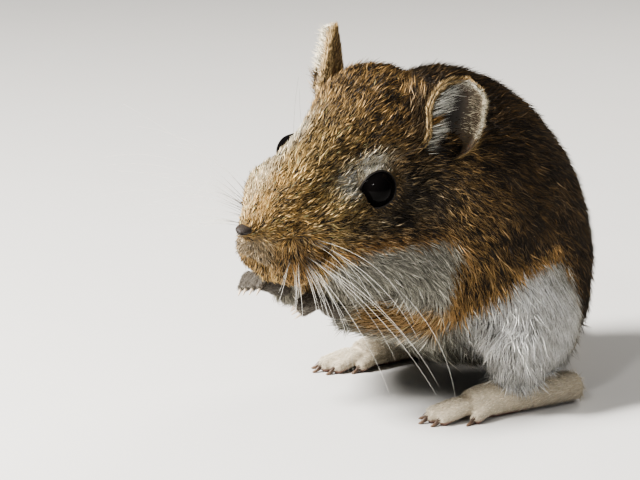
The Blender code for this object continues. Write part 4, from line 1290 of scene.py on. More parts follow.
def body_length(points: Array) -> Array:
    """Length of the body's hair: 2.6 behind the ears, 3.8 on back and belly, 4.2 on the ruff over
    the elbow, and 0.4 of that on the limbs."""
    mirror = mirrored(points)
    limb = np.maximum(blob(mirror, (12.0, -12.0, 18.0), (5.5, 9.0, 4.0)),
                      blob(mirror, (17.0, 9.5, 3.0), (8.0, 9.0, 5.5)))
    length = 2.6 + 1.2 * ramp(40.0, 54.0, POSE.to_head(points)[:, 1])
    length += 1.6 * blob(mirror, (16.0, -4.0, 25.0), (4.0, 4.0, 7.0))
    return length * by_paws(points) * (1 - 0.6 * np.clip(limb * 1.4, 0, 1))


def on_head(points: Array) -> Array:
    """Where the head's hair stands: thicker towards the muzzle."""
    y = POSE.to_head(points)[:, 1]
    return (1 - ramp(34.0, 40.0, y)) * (1.6 - 0.8 * ramp(8.0, 26.0, y)) * off_eyes(points)


def on_body(points: Array) -> Array:
    """Where the body's hair stands."""
    return ramp(32.0, 40.0, POSE.to_head(points)[:, 1])


def off_eyes(points: Array) -> Array:
    """0 on the sunk skin behind the eyeballs and on the nose, 1 elsewhere."""
    keep = np.ones(len(points))
    for side in Side:
        reach, angle, turn = OPENING.polar(side, points)
        keep *= 1.0 - ((reach < 5.2) & (angle < OPENING.limit(turn) + 3.0)).astype(float)
    head = POSE.to_head(points)
    return keep * (1.0 - (blob(head, (0.0, 0.85, 0.3), (1.45, 1.3, 0.95)) > 0.36).astype(float))


def on_back(points: Array) -> Array:
    """The coloured part of the body's coat."""
    return on_body(points) * (1 - ramp(0.4, 0.7, MARKINGS.white(points)))


def on_belly(points: Array) -> Array:
    """The white part of the body's coat."""
    return on_body(points) * ramp(0.3, 0.6, MARKINGS.white(points))


class Coat:
    """All the hair of the head and the body."""

    def layers(self) -> list[Pelage]:
        """The kinds of hair, from the fine ones below to the long ones above."""
        head = {"centre": (8.0, -18.0, 36.0), "axis": (-0.35, 0.9, 0.2)}
        white = {"slot": "white_fur", "spread": 0.11, "wave": 0.16}
        return [
            Pelage("coat_head_under", 48000, 21, on_head, lambda p: face_length(p) * 0.85, 0.115,
                   11.0, 0.0, 0.20, 0.3, True, **head),
            Pelage("coat_head_fine", 44000, 20, on_head, face_length, 0.115, 15.0, 0.0, 0.22, 0.35,
                   True, **head),
            Pelage("coat_head_guard", 12000, 22, on_head, lambda p: face_length(p) * 1.2, 0.085,
                   20.0, 0.12, 0.24, 0.35, **head),
            Pelage("coat_back_under", 40000, 23, on_back, lambda p: body_length(p) * 0.8, 0.15,
                   11.0, 0.0, straight=True),
            Pelage("coat_back_guard", 19500, 24, on_back, body_length, 0.125, 14.0, 0.10),
            Pelage("coat_back_top", 34000, 25, on_back, lambda p: body_length(p) * 0.95, 0.11,
                   16.0, 0.0, straight=True),
            Pelage("coat_belly_under", 32000, 26, on_belly, lambda p: body_length(p) * 0.85, 0.11,
                   10.0, 0.0, straight=True, **white),
            Pelage("coat_belly_guard", 24000, 27, on_belly, lambda p: body_length(p) * 1.1, 0.085,
                   13.0, 0.0, straight=True, **white),
        ]

    def build(self, skin: Skin) -> None:
        """Grows every layer on the skin."""
        for layer in self.layers():
            layer.build(skin.surface)


# Eyes, nose, ears and whiskers


@dataclass
class Eye:
    """A glossy black eyeball with a bulging cornea, and the dark rim of its lids."""

    side: Side
    bulge: float = 0.18
    rim: float = 0.12
    rim_height: float = 0.06
    rim_spread: float = 1.5
    rim_gap: float = 1.0
    rim_points: int = 96
    rim_sides: int = 10

    def build(self) -> None:
        """Makes the ball and the rim."""
        centre, axis, line, over = OPENING.axes(self.side)
        points, faces = ball(np.zeros(3), (1.0, 1.0, 1.0), rows=40)
        swell = 1 + self.bulge / POSE.eye_radius * ramp(0.72, 1.0, points @ axis)
        points = centre + points * swell[:, None] * POSE.eye_radius
        mesh_piece(f"eyeball_{self.side.word}", points, faces, EYEBALL, "eye_black",
                   (f"{self.side.word}_eye",))
        around = np.linspace(-math.pi, math.pi, self.rim_points + 1)[:-1]
        angle = np.radians(OPENING.limit(around) + self.rim_gap)[:, None]
        way = (np.cos(angle) * axis
               + np.sin(angle) * (np.cos(around)[:, None] * line + np.sin(around)[:, None] * over))
        edge = centre + way * (POSE.eye_radius + self.rim_height)
        ahead = unit(np.roll(edge, -1, axis=0) - np.roll(edge, 1, axis=0))
        aside = np.cross(way, ahead)
        turns = np.linspace(0, 2 * math.pi, self.rim_sides, endpoint=False)[None, :, None]
        ring = edge[:, None] + self.rim * (
            np.cos(turns) * way[:, None] + self.rim_spread * np.sin(turns) * aside[:, None])
        points = ring.reshape(-1, 3)
        quads = grid_faces(self.rim_points, self.rim_sides, looped=True)
        mesh_piece(f"eye_rim_{self.side.word}", points, outward_faces(points, quads), EYE_RIM,
                   "eye_black")


@dataclass
class Nose:
    """The bare pad at the tip of the muzzle: a low swelling with two comma-shaped nostrils and a
    groove down its middle."""

    centre: Point = (0.0, 1.60, 0.32)
    radii: Point = (1.25, 1.60, 0.70)
    nostril: Spot = ((0.70, 0.2, 0.12), (0.34, 0.8, 0.20))
    wing: Spot = ((1.1, 0.6, 0.0), (0.3, 0.6, 0.17))
    groove_width: float = 0.14
    groove_depth: float = 0.3
    nostril_depth: float = 0.55

    def build(self) -> None:
        """Makes the pad: a point moves in by e^(-d^2) of the depth at the nostrils and groove."""
        points, faces = ball(self.centre, self.radii, rows=36)
        mirror = mirrored(points)
        front = 1 - ramp(0.8, 1.4, points[:, 1])
        hole = np.maximum(blob(mirror, *self.nostril) * front, blob(mirror, *self.wing))
        groove = np.exp(-(points[:, 0] / self.groove_width) ** 2) * front
        groove *= 1 - ramp(0.2, 0.7, points[:, 2])
        inward = unit(np.array(self.centre) * (1, 0.7, 1) - points)
        points = points + inward * (self.nostril_depth * hole + self.groove_depth * groove)[:, None]
        colour = mixed(Pigment.NOSE, Pigment.NOSE_TOP, ramp(0.6, 1.3, points[:, 2]) * 0.7)
        # Painted shade: the nostrils and the groove are painted darker than the pad.
        mesh_piece("nose_pad", POSE.from_head(points), faces, NOSE_SKIN, "muzzle_fur",
                   colours=mixed(colour, Pigment.NOSTRIL, np.maximum(hole * 1.4, groove * 0.7)))


@dataclass(frozen=True)
class EarHair:
    """One kind of hair on an ear.

    Columns run from 0 at the front edge to 1 at the back edge, rows from 0 at the foot to 1 at the
    top. The way is a share towards the back edge and one towards the top, or a line of the head.
    """

    count: int
    columns: tuple[float, float]
    rows: tuple[float, float]
    way: tuple[float, ...]
    length: tuple[float, float]
    width: float
    colour: Colour
    dark: float
    inside: bool = True


@dataclass
class Ear:
    """A thin furred cup, rolled up at its foot, with a pale rim and painted shade well inside it."""

    side: Side
    root: Point = (9.0, 35.4, 2.5)
    up: Point = (0.19, 0.19, 0.96)
    facing: Point = (0.66, -0.72, -0.05)
    height: float = 15.2
    shares: tuple = (0.0, 0.2, 0.42, 0.62, 0.8, 0.92, 1.0)
    widths: tuple = (2.3, 3.3, 4.3, 4.6, 4.0, 2.8, 0.7)
    angles: tuple = (140.0, 112.0, 84.0, 66.0, 54.0, 46.0, 40.0)
    lean: float = 1.6
    tuck: float = 2.6
    front: float = 0.72
    fuller: dict = field(default_factory=lambda: {Side.LEFT: 0.30, Side.RIGHT: 0.0})
    wall: float = 0.6
    rows: int = 60
    columns: int = 48
    hairs: tuple = (
        EarHair(1300, (0.60, 0.97), (0.36, 0.93), (1.0, 0.45), (0.9, 1.9), 0.075, EarTone.LOBE, 0.26),
        EarHair(420, (0.40, 1.0), (0.0, 0.38), (0.8, 0.5), (0.9, 1.8), 0.08, EarTone.FOOT, 0.4),
        EarHair(620, (0.10, 0.92), (0.84, 0.985), (0.6, 0.8), (0.6, 1.2), 0.07, EarTone.RIM, 0.26),
        # Near-black hairs in the middle of the cup: painted shade.
        EarHair(420, (0.34, 0.60), (0.30, 0.86), (0.8, 0.6), (0.6, 1.2), 0.06, EarTone.DEEP, 0.5),
        EarHair(420, (0.95, 1.0), (0.44, 0.97), (0.8, 0.9), (0.4, 0.9), 0.06, EarTone.RIM, 0.2),
        EarHair(650, (0.80, 1.0), (0.0, 0.46), (0.3, 1.0, 0.0), (1.3, 2.4), 0.10, EarTone.FOOT, 0.4),
        EarHair(800, (0.0, 0.17), (0.05, 0.97), (0.15, 1.0), (1.1, 2.0), 0.09, EarTone.EDGE, 0.34),
        EarHair(700, (0.0, 0.02), (0.15, 0.98), (-0.45, 1.0), (0.7, 1.5), 0.08, EarTone.EDGE, 0.34),
        EarHair(230, (0.04, 0.24), (0.44, 0.78), (0.57, 0.84, 0.57), (2.8, 4.2), 0.11, EarTone.TUFT, 0.36),
        EarHair(120, (0.02, 0.20), (0.36, 0.46), (0.57, 0.84, 0.5), (1.6, 2.6), 0.09, EarTone.RUSTY, 0.3),
        EarHair(230, (0.0, 0.22), (0.08, 0.38), (0.62, 0.84, 0.4), (2.4, 3.6), 0.11, EarTone.LOW_TUFT, 0.40),
        EarHair(3200, (0.0, 1.0), (0.02, 0.97), (0.0, 1.0), (0.9, 1.7), 0.085, EarTone.BACK, 0.35, False),
        EarHair(900, (0.0, 0.14), (0.15, 0.95), (-0.2, 1.0), (1.2, 2.0), 0.09, EarTone.EDGE, 0.34, False),
        EarHair(1200, (0.0, 1.0), (0.0, 0.34), (0.0, 1.0), (2.0, 3.6), 0.10, EarTone.NAPE, 0.4, False),
        EarHair(500, (0.92, 1.0), (0.3, 0.98), (0.6, 1.0), (0.4, 0.9), 0.06, EarTone.BACK_RIM, 0.2, False),
    )

    def sheet(self) -> Array:
        """The middle sheet: root + up h s + side f r sin(a) + facing (r (1 - cos a) + lean s^2),
        where f is 1 on the back half and less on the front half, less so high on the left ear. The
        top fifth is rounded off as an ellipse, and the foot's edges are tucked into the head."""
        up = unit(np.array(self.up))
        facing = unit(np.array(self.facing) - up * (np.array(self.facing) @ up))
        sideways = np.cross(up, facing)
        share = np.linspace(0, 1, self.rows) ** 0.8
        share[-1] = 0.995
        width = np.interp(share, self.shares, self.widths)
        top = 4.0 * np.sqrt(np.clip(1 - ((share - 0.8) / 0.2) ** 2, 0.02, 1))
        width = np.where(share > 0.8, top, width)
        angle = np.radians(np.interp(share, self.shares, self.angles))
        radius = width / np.sin(np.minimum(angle, math.pi / 2))
        turn = np.linspace(-1, 1, self.columns)[None, :] * angle[:, None]
        radius, share = radius[:, None], share[:, None]
        forward = radius * (1 - np.cos(turn)) + self.lean * share**2
        front = self.front + self.fuller[self.side] * ramp(0.35, 0.8, share)
        aside = radius * np.sin(turn) * np.where(turn < 0, front, 1.0)
        points = (np.array(self.root) + (up * self.height) * share[..., None]
                  + sideways * aside[..., None] + facing * forward[..., None])
        edge = np.linspace(-1, 1, self.columns)[None, :] ** 2
        points[..., 0] -= self.tuck * edge * (1 - ramp(0.0, 0.42, share))
        return points * np.array((self.side.value, 1.0, 1.0))

    def build(self) -> None:
        """Makes the cup's wall and its hair."""
        middle = POSE.from_head(self.sheet().reshape(-1, 3))
        quads = grid_faces(self.rows, self.columns, False)
        if self.side is Side.RIGHT:
            quads = quads[:, ::-1]
        sheet = Surface(middle, split_quads(quads))
        edge = np.minimum(np.linspace(0, 1, self.columns), np.linspace(1, 0, self.columns))
        top = np.linspace(1, 0, self.rows)
        thin = np.minimum(ramp(-0.02, 0.08, edge)[None, :], ramp(-0.02, 0.1, top)[:, None])
        half = (self.wall / 2 * (0.45 + 0.55 * thin)).reshape(-1, 1)
        back, front = middle - sheet.normals * half, middle + sheet.normals * half
        count = len(middle)
        rim = self.border()
        following = np.roll(rim, -1)
        band = np.stack([rim, rim + count, following + count, following], axis=1)
        if self.side is Side.RIGHT:
            band = band[:, ::-1]
        faces = np.vstack([quads + count, quads[:, ::-1], band])
        mesh_piece(f"ear_{self.side.word}", np.vstack([back, front]), faces, EAR_SKIN, "ear_skin",
                   (f"{self.side.word}_ear",), self.skin_colours())
        self.grow_hair(middle, sheet.normals)

    def border(self) -> Array:
        """Indices of the sheet's edge, in order round it."""
        r, c = self.rows, self.columns
        bottom = np.arange(c)
        right = np.arange(1, r) * c + c - 1
        top = (r - 1) * c + np.arange(c - 2, -1, -1)
        left = np.arange(r - 2, 0, -1) * c
        return np.concatenate([bottom, right, top, left])

    def skin_colours(self) -> Array:
        """Brown outside; inside, painted shade in the middle of the cup, a tan lobe behind it and a pale
        rim.
        """
        column = np.tile(np.linspace(0, 1, self.columns), self.rows)
        row = np.repeat(np.linspace(0, 1, self.rows), self.columns)
        edge = np.minimum(column, 1 - column)
        near = 1 - np.minimum(ramp(0.0, 0.09, edge), ramp(0.0, 0.08, 1 - row))
        # Painted shade: the middle of the cup's inside turns near black.
        hollow_shade = np.exp(-((column - 0.40) / 0.30) ** 2 - ((row - 0.42) / 0.50) ** 2)
        inner = mixed(EarTone.PINNA, EarTone.HOLLOW, np.clip(hollow_shade * 1.6, 0, 1))
        back = ramp(0.35, 0.7, np.maximum(column, 1.3 * row - 0.3))
        inner = mixed(inner, EarTone.FRONT_LIP, near * 0.9 * (1 - back))
        rim = near * back * ramp(0.35, 0.55, row)
        inner = mixed(inner, EarTone.PALE_LIP, rim * 0.8)
        outer = mixed(EarTone.PINNA_BACK, EarTone.PALE_LIP, rim * 0.6)
        foot = 1 - ramp(0.15, 0.4, row)
        return np.vstack([mixed(outer, EarTone.OUTER_FOOT, foot),
                          mixed(inner, EarTone.INNER_FOOT, foot)])

    def grow_hair(self, middle: Array, normals: Array) -> None:
        """Every kind of hair on both faces, each root found between four corners of the grid."""
        rng = self.side.rng(61)
        grid = middle.reshape(self.rows, self.columns, 3)
        table = np.concatenate([grid, normals.reshape(grid.shape), unit(np.gradient(grid, axis=1)),
                                unit(np.gradient(grid, axis=0))], axis=2)
        parts = [self.roots(kind, table, rng) for kind in self.hairs]
        *shape, colour, spots = (np.concatenate(part) for part in zip(*parts))
        count = len(spots)
        tufts = Tufts(*shape, lift=np.radians(rng.uniform(4, 20, count)),
                      bend=rng.uniform(0.0, 0.1, count), swing=rng.normal(0, 0.08, count))
        grow(f"ear_hair_{self.side.word}", tufts, (colour * 0.55, colour, colour * 1.15), spots,
             "ear_skin")

    def roots(self, kind: EarHair, table: Array, rng: np.random.Generator) -> tuple[Array, ...]:
        """What each hair of one kind needs, one array for each thing.

        Args:
            kind: the kind of hair.
            table: place, normal, way to the back edge and way to the top at each point of the grid.
            rng: the seeded source of the random draws.

        Returns:
            Roots, outward ways, lines of the hair, lengths, widths, colours and spots on the map.
        """
        column = rng.uniform(*kind.columns, kind.count)
        row = rng.uniform(*kind.rows, kind.count)
        j, i = column * (self.columns - 1), row * (self.rows - 1)
        j0 = np.minimum(j.astype(int), self.columns - 2)
        i0 = np.minimum(i.astype(int), self.rows - 2)
        s, t = (j - j0)[:, None], (i - i0)[:, None]
        found = ((table[i0, j0] * (1 - s) + table[i0, j0 + 1] * s) * (1 - t)
                 + (table[i0 + 1, j0] * (1 - s) + table[i0 + 1, j0 + 1] * s) * t)
        sign = 1.0 if kind.inside else -1.0
        outward = unit(found[:, 3:6]) * sign
        if len(kind.way) == 2:
            along = found[:, 6:9] * kind.way[0] + found[:, 9:12] * kind.way[1]
            along = laid_into(along + rng.normal(0, 0.22, along.shape), outward)
        else:
            line = POSE.heading(self.side, kind.way)
            along = unit(line + rng.normal(0, 0.13, (kind.count, 3)))
            outward = laid_into(outward, along)
        tone = np.exp(rng.normal(0, 0.34, kind.count))
        tone = np.where(rng.random(kind.count) < kind.dark, 0.14, tone)[:, None]
        length = rng.uniform(*kind.length, kind.count)
        width = kind.width * rng.uniform(0.7, 1.3, kind.count)
        return (found[:, :3] + outward * self.wall * 0.4, outward, along, length, width,
                np.array(kind.colour) * tone, on_map(np.stack([column, row], axis=1)))


@dataclass
class Whiskers:
    """The long stiff hairs of one side, dark at the root and white towards the tip.

    Each long hair is a place on the pad, the angle at which it starts, the angle at which it ends
    and its length. An angle is measured in the plane of the fan, from across towards up.
    """

    side: Side
    across: Point = (0.784, 0.618, 0.058)
    rise: Point = (-0.355, 0.370, 0.859)
    points: int = 18
    radius: float = 0.023
    finest: float = 0.009
    finer: float = 0.6
    between: int = 2
    dark_root: float = 0.16
    dark_upper: float = 0.50
    clearance: float = 0.15
    fan: dict = field(default_factory=lambda: {
        Side.LEFT: (
            ((7.6, 8.6, -3.0), -17, -82, 35), ((7.6, 8.2, -3.8), -30, -61, 30),
            ((7.4, 8.8, -4.6), -36, -59, 30), ((7.4, 7.8, -4.6), -46, -70, 26),
            ((7.0, 8.0, -4.4), -50, -86, 21), ((6.8, 7.6, -5.2), -58, -72, 14),
            ((6.4, 8.2, -6.2), -66, -90, 13), ((6.0, 7.0, -6.0), -86, -100, 11),
            ((7.0, 8.8, -5.6), -60, -78, 19), ((6.6, 6.4, -4.6), -76, -96, 15),
            ((5.8, 5.8, -4.8), -98, -112, 9), ((7.6, 7.6, -2.8), -24, -64, 24)),
        Side.RIGHT: (
            ((-5.6, 10.6, -0.4), 124, 176, 21), ((-5.8, 10.4, -0.9), 132, 152, 24),
            ((-6.0, 9.6, -0.9), 136, 194, 24), ((-6.2, 9.2, -1.6), 141, 190, 23),
            ((-6.2, 8.6, -1.4), 144, 184, 18), ((-6.2, 8.4, -2.4), 155, 196, 23),
            ((-6.0, 7.4, -2.0), 165, 184, 15), ((-6.2, 9.6, -2.4), 149, 178, 21),
            ((-5.8, 10.2, -1.8), 128, 142, 15), ((-6.0, 7.8, -3.4), 162, 200, 17),
            ((-5.8, 7.0, -3.0), 174, 206, 13), ((-6.0, 8.6, -4.0), 168, 212, 14)),
    })
    outward: dict = field(default_factory=lambda: {Side.LEFT: (0.16, -0.22, 0.16),
                                                   Side.RIGHT: (-0.03, -0.02, 0.0)})
    brow: tuple = (((6.9, 20.6, 6.4), (0.30, 0.30, 1.0), 9.0),
                   ((6.4, 23.0, 7.6), (0.2, 0.5, 1.0), 7.0),
                   ((8.6, 24.6, 5.8), (0.75, 0.6, 0.7), 6.5))

    def line(self, start: Array, first: float, last: float, length: float) -> Array:
        """The hair's line: steps of cos(a) across + sin(a) up + outward, with the angle a going
        from first to last by the share of the length to the power 1.2."""
        share = np.linspace(0, 1, self.points)
        angle = np.radians(first + (last - first) * share**1.2)[:, None]
        way = unit(np.cos(angle) * np.array(self.across) + np.sin(angle) * np.array(self.rise)
                   + np.array(self.outward[self.side])) @ POSE.turn.T
        steps = (way[1:] + way[:-1]) / 2 * length / (self.points - 1)
        line = start + np.vstack([np.zeros(3), np.cumsum(steps, axis=0)])
        line[:, 2] = np.maximum(line[:, 2], self.clearance)
        return line

    def hair(self, line: Array, radius: float, dark: float) -> tuple[Array, Array, Array]:
        """A tapered tube along a line, and its colours, dark up to a share of its length."""
        t = np.linspace(0, 1, len(line))
        points, faces = tube(line, radius * (1 - t) ** 0.8 + self.finest, 4)
        shade = np.append(np.repeat(ramp(dark - 0.12, dark + 0.12, t), 4), (0.0, 1.0))
        return points, faces, mixed(Pigment.WHISKER_ROOT, Pigment.WHISKER_TIP, shade)

    def build(self, skin: Skin) -> None:
        """Makes the whiskers, the finer hairs between them and the hairs over the eye."""
        rng = self.side.rng(5)
        hairs = []
        for root, first, last, length in self.fan[self.side]:
            place = POSE.from_head(np.array([root]))[0]
            place = skin.surface.points[((skin.surface.points - place) ** 2).sum(axis=1).argmin()]
            upper = first > -20 and self.side is Side.LEFT
            dark = self.dark_upper if upper else self.dark_root
            hairs.append(self.hair(self.line(place, first, last, length), self.radius, dark))
            for _ in range(self.between):
                near = place + rng.normal(0.0, 0.45, 3)
                bend = rng.uniform(-7.0, 7.0)
                shorter = length * rng.uniform(0.35, 0.8)
                line = self.line(near, first + bend, last + 1.4 * bend, shorter)
                hairs.append(self.hair(line, self.radius * self.finer, rng.uniform(0.0, 0.4)))
        for root, way, length in self.brow:
            t = np.linspace(0, 1, 12)[:, None]
            line = POSE.spot(self.side, root) + unit(POSE.heading(self.side, way)) * t * length
            line = line + POSE.turn @ np.array((0.0, 0.12, -0.05)) * length * t**2
            hairs.append(self.hair(line, self.radius * 0.5, 1.3))
        mesh_piece(f"whiskers_{self.side.word}", *merged([hair[:2] for hair in hairs]),
                   WHISKER_HAIR, "muzzle_fur", (f"{self.side.word}_whisker_pad",),
                   np.vstack([hair[2] for hair in hairs]))


# Feet, paws and tail


@dataclass
class Foot:
    """A long narrow hind foot with five toes, its short flat fur and its dark claws."""

    side: Side
    line: tuple = ((16.6, 21.6, 2.3), (16.8, 13.5, 2.7), (16.6, 5.8, 2.2), (16.4, 1.9, 1.7))
    radii: tuple = (2.4, 3.0, 3.1, 2.7)
    toes: tuple = (
        ((14.5, 5.4, 1.6), (13.2, 0.5, 0.9), 1.1),
        ((15.4, 3.5, 1.6), (14.4, -3.4, 0.9), 1.2),
        ((16.4, 3.1, 1.7), (16.3, -4.7, 1.0), 1.25),
        ((17.5, 3.5, 1.6), (18.2, -3.8, 0.9), 1.2),
        ((18.5, 5.9, 1.5), (20.0, 1.1, 0.8), 1.05),
    )
    steps: dict = field(default_factory=lambda: {Side.LEFT: 0.0, Side.RIGHT: -1.4})
    claw: float = 3.0
    claw_radius: float = 0.5
    claw_height: float = 0.2
    hairs: int = 8000

    def placed(self, point: tuple) -> Array:
        """A point of the left foot on this side, moved back by this foot's step."""
        return self.side.of(point) + np.array((0.0, self.steps[self.side], 0.0))

    def build(self) -> None:
        """Makes the foot's skin, its fur and its claws."""
        rows = [(*self.placed(p), r) for p, r in zip(self.line, self.radii)]
        pieces, claws = [swept(rows, 30, 20, 0.97, 0.92)], []
        t = np.linspace(0, 1, 12)[:, None]
        for root, tip, radius in self.toes:
            a, b = self.placed(root), self.placed(tip)
            middle = (a + b) / 2 + np.array((0, 0, 0.55))
            pieces.append(swept([(*a, radius * 1.1), (*((a + middle) / 2), radius * 0.98),
                                 (*middle, radius * 0.92), (*b, radius * 0.9)], 14, 14))
            pieces.append(ball(b, (radius * 0.92,) * 3, rows=8))
            way = unit(b - middle)
            line = (b - way * 0.3 + np.array((0, 0, 0.25)) + way * self.claw * t
                    + np.array((0, 0, -0.30 * self.claw)) * t**2)
            line[:, 2] = np.maximum(line[:, 2], self.claw_height)
            points, faces = tube(line, self.claw_radius * (1 - t[:, 0]) ** 0.6 + 0.04, 10, 1.25)
            points[:, 2] = np.maximum(points[:, 2], FLOOR_GAP)
            claws.append((points, faces))
        skin = remeshed(*merged(pieces), 0.28, 3)
        skin.points[:, 2] = np.maximum(skin.points[:, 2], 0.0)
        skin.renew()
        sole = 1 - ramp(0.3, 1.0, skin.points[:, 2])
        mesh_piece(f"foot_{self.side.word}", skin.points, skin.triangles, PAW_SKIN, "paw_fur",
                   (f"{self.side.word}_hind_foot",),
                   mixed(np.array(Pigment.BUFF) * 0.75, Pigment.SOLE, sole))
        shade = mixed(Pigment.CLAW_ROOT, Pigment.CLAW_TIP,
                      ramp(0.5, 1.0, np.append(np.repeat(t[:, 0], 10), (0.0, 1.0))))
        mesh_piece(f"foot_claws_{self.side.word}", *merged(claws), CLAW_HORN, "paw_fur",
                   colours=np.tile(shade, (len(claws), 1)))
        self.grow_fur(skin)

    def grow_fur(self, skin: Surface) -> None:
        """Short fur that lies towards the toes."""
        rng = self.side.rng(71)
        tufts = short_fur(skin, ramp(0.5, 1.2, skin.points[:, 2]), self.hairs,
                          np.array((0.0, -1.0, -0.15)), 0.18,
                          lambda roots: 0.75 + 0.9 * ramp(4.0, 18.0, roots[:, 1]), (0.7, 1.3), 0.06,
                          rng)
        colour = mixed(Pigment.BUFF, Pigment.WHITE, 0.35 * rng.random(self.hairs))
        colour *= np.exp(rng.normal(0, 0.2, self.hairs))[:, None]
        spots = unwrapped(tufts.roots, self.placed((16.6, 8.0, 2.0)), (0.0, 1.0, 0.0))
        grow(f"foot_fur_{self.side.word}", tufts, (colour * 0.6, colour, colour * 1.1), spots,
             "paw_fur")


@dataclass
class Forepaw:
    """A small hand with four fingers and pale claws."""

    side: Side
    places: dict = field(default_factory=lambda: {Side.LEFT: (9.9, -18.6, 18.8),
                                                  Side.RIGHT: (-3.9, -22.8, 20.2)})
    turns: dict = field(default_factory=lambda: {Side.LEFT: (-14, 10, -18),
                                                 Side.RIGHT: (-14, -10, 29)})
    fingers: tuple = (-1.6, -0.55, 0.55, 1.6)
    length: float = 4.4
    claw: float = 1.7
    claw_radius: float = 0.3
    hairs: int = 4000

    def placed(self, points: Array) -> Array:
        """Points of the paw's own frame in the animal's frame."""
        x, y, z = (np.array(rotation(a, n)) for a, n in zip(self.turns[self.side], "XYZ"))
        return points @ (z @ y @ x).T + np.array(self.places[self.side])

    def build(self) -> None:
        """Makes the hand's skin, its fur and its claws."""
        pieces = [ball(np.array((0, 0.2, 0)), (2.2, 2.6, 1.55), rows=14),
                  swept([(0, 3.8, -0.4, 1.75), (0, 1.8, -0.2, 1.8), (0, 0.4, 0, 1.6)], 10, 14)]
        claws = []
        t = np.linspace(0, 1, 10)[:, None]
        for across in self.fingers:
            reach = self.length * (1 - 0.07 * abs(across))
            knuckle = np.array((across * 1.25, -1.4 - reach * 0.45, 0.9))
            tip = np.array((across * 1.15, -1.2 - reach, -0.9))
            pieces.append(swept([(across, -0.6, 0.3, 0.82), (*knuckle, 0.78), (*tip, 0.6)], 14, 12))
            pieces.append(ball(tip, (0.62,) * 3, rows=7))
            way = unit(tip - knuckle)
            line = tip - way * 0.2 + way * self.claw * t + np.array((0, 0, -0.4)) * t**2
            claws.append(tube(line, self.claw_radius * (1 - t[:, 0]) ** 0.6 + 0.03, 8))
        points, faces = merged(pieces)
        skin = remeshed(self.placed(points), faces, 0.2, 3)
        # The hand's dark brown is partly its own skin, partly painted shade.
        mesh_piece(f"paw_{self.side.word}", skin.points, skin.triangles, PAW_SKIN, "paw_fur",
                   (f"{self.side.word}_forepaw",), plain(Pigment.PAW_BROWN, len(skin.points)))
        points, faces = merged(claws)
        mesh_piece(f"paw_claws_{self.side.word}", self.placed(points), faces, CLAW_HORN, "paw_fur",
                   colours=plain(Pigment.PALE_CLAW, len(points)))
        self.grow_fur(skin)

    def grow_fur(self, skin: Surface) -> None:
        """Short dark fur that lies towards the fingertips."""
        rng = self.side.rng(81)
        ahead = self.placed(np.array(((0, 0, 0), (0, -1, -0.2))))
        tufts = short_fur(skin, np.ones(len(skin.points)), self.hairs, unit(ahead[1] - ahead[0]),
                          0.2, lambda roots: np.ones(len(roots)), (0.45, 0.9), 0.05, rng)
        # The fur's dark brown is partly its own, partly painted shade.
        colour = mixed(np.array(Pigment.PAW_BROWN) * 1.3, Pigment.PALE_GREY,
                       0.5 * rng.random(self.hairs))
        spots = unwrapped(tufts.roots, self.places[self.side], (0.0, 1.0, 0.0))
        grow(f"paw_fur_{self.side.word}", tufts, (colour * 0.6, colour, colour * 1.1), spots,
             "paw_fur")


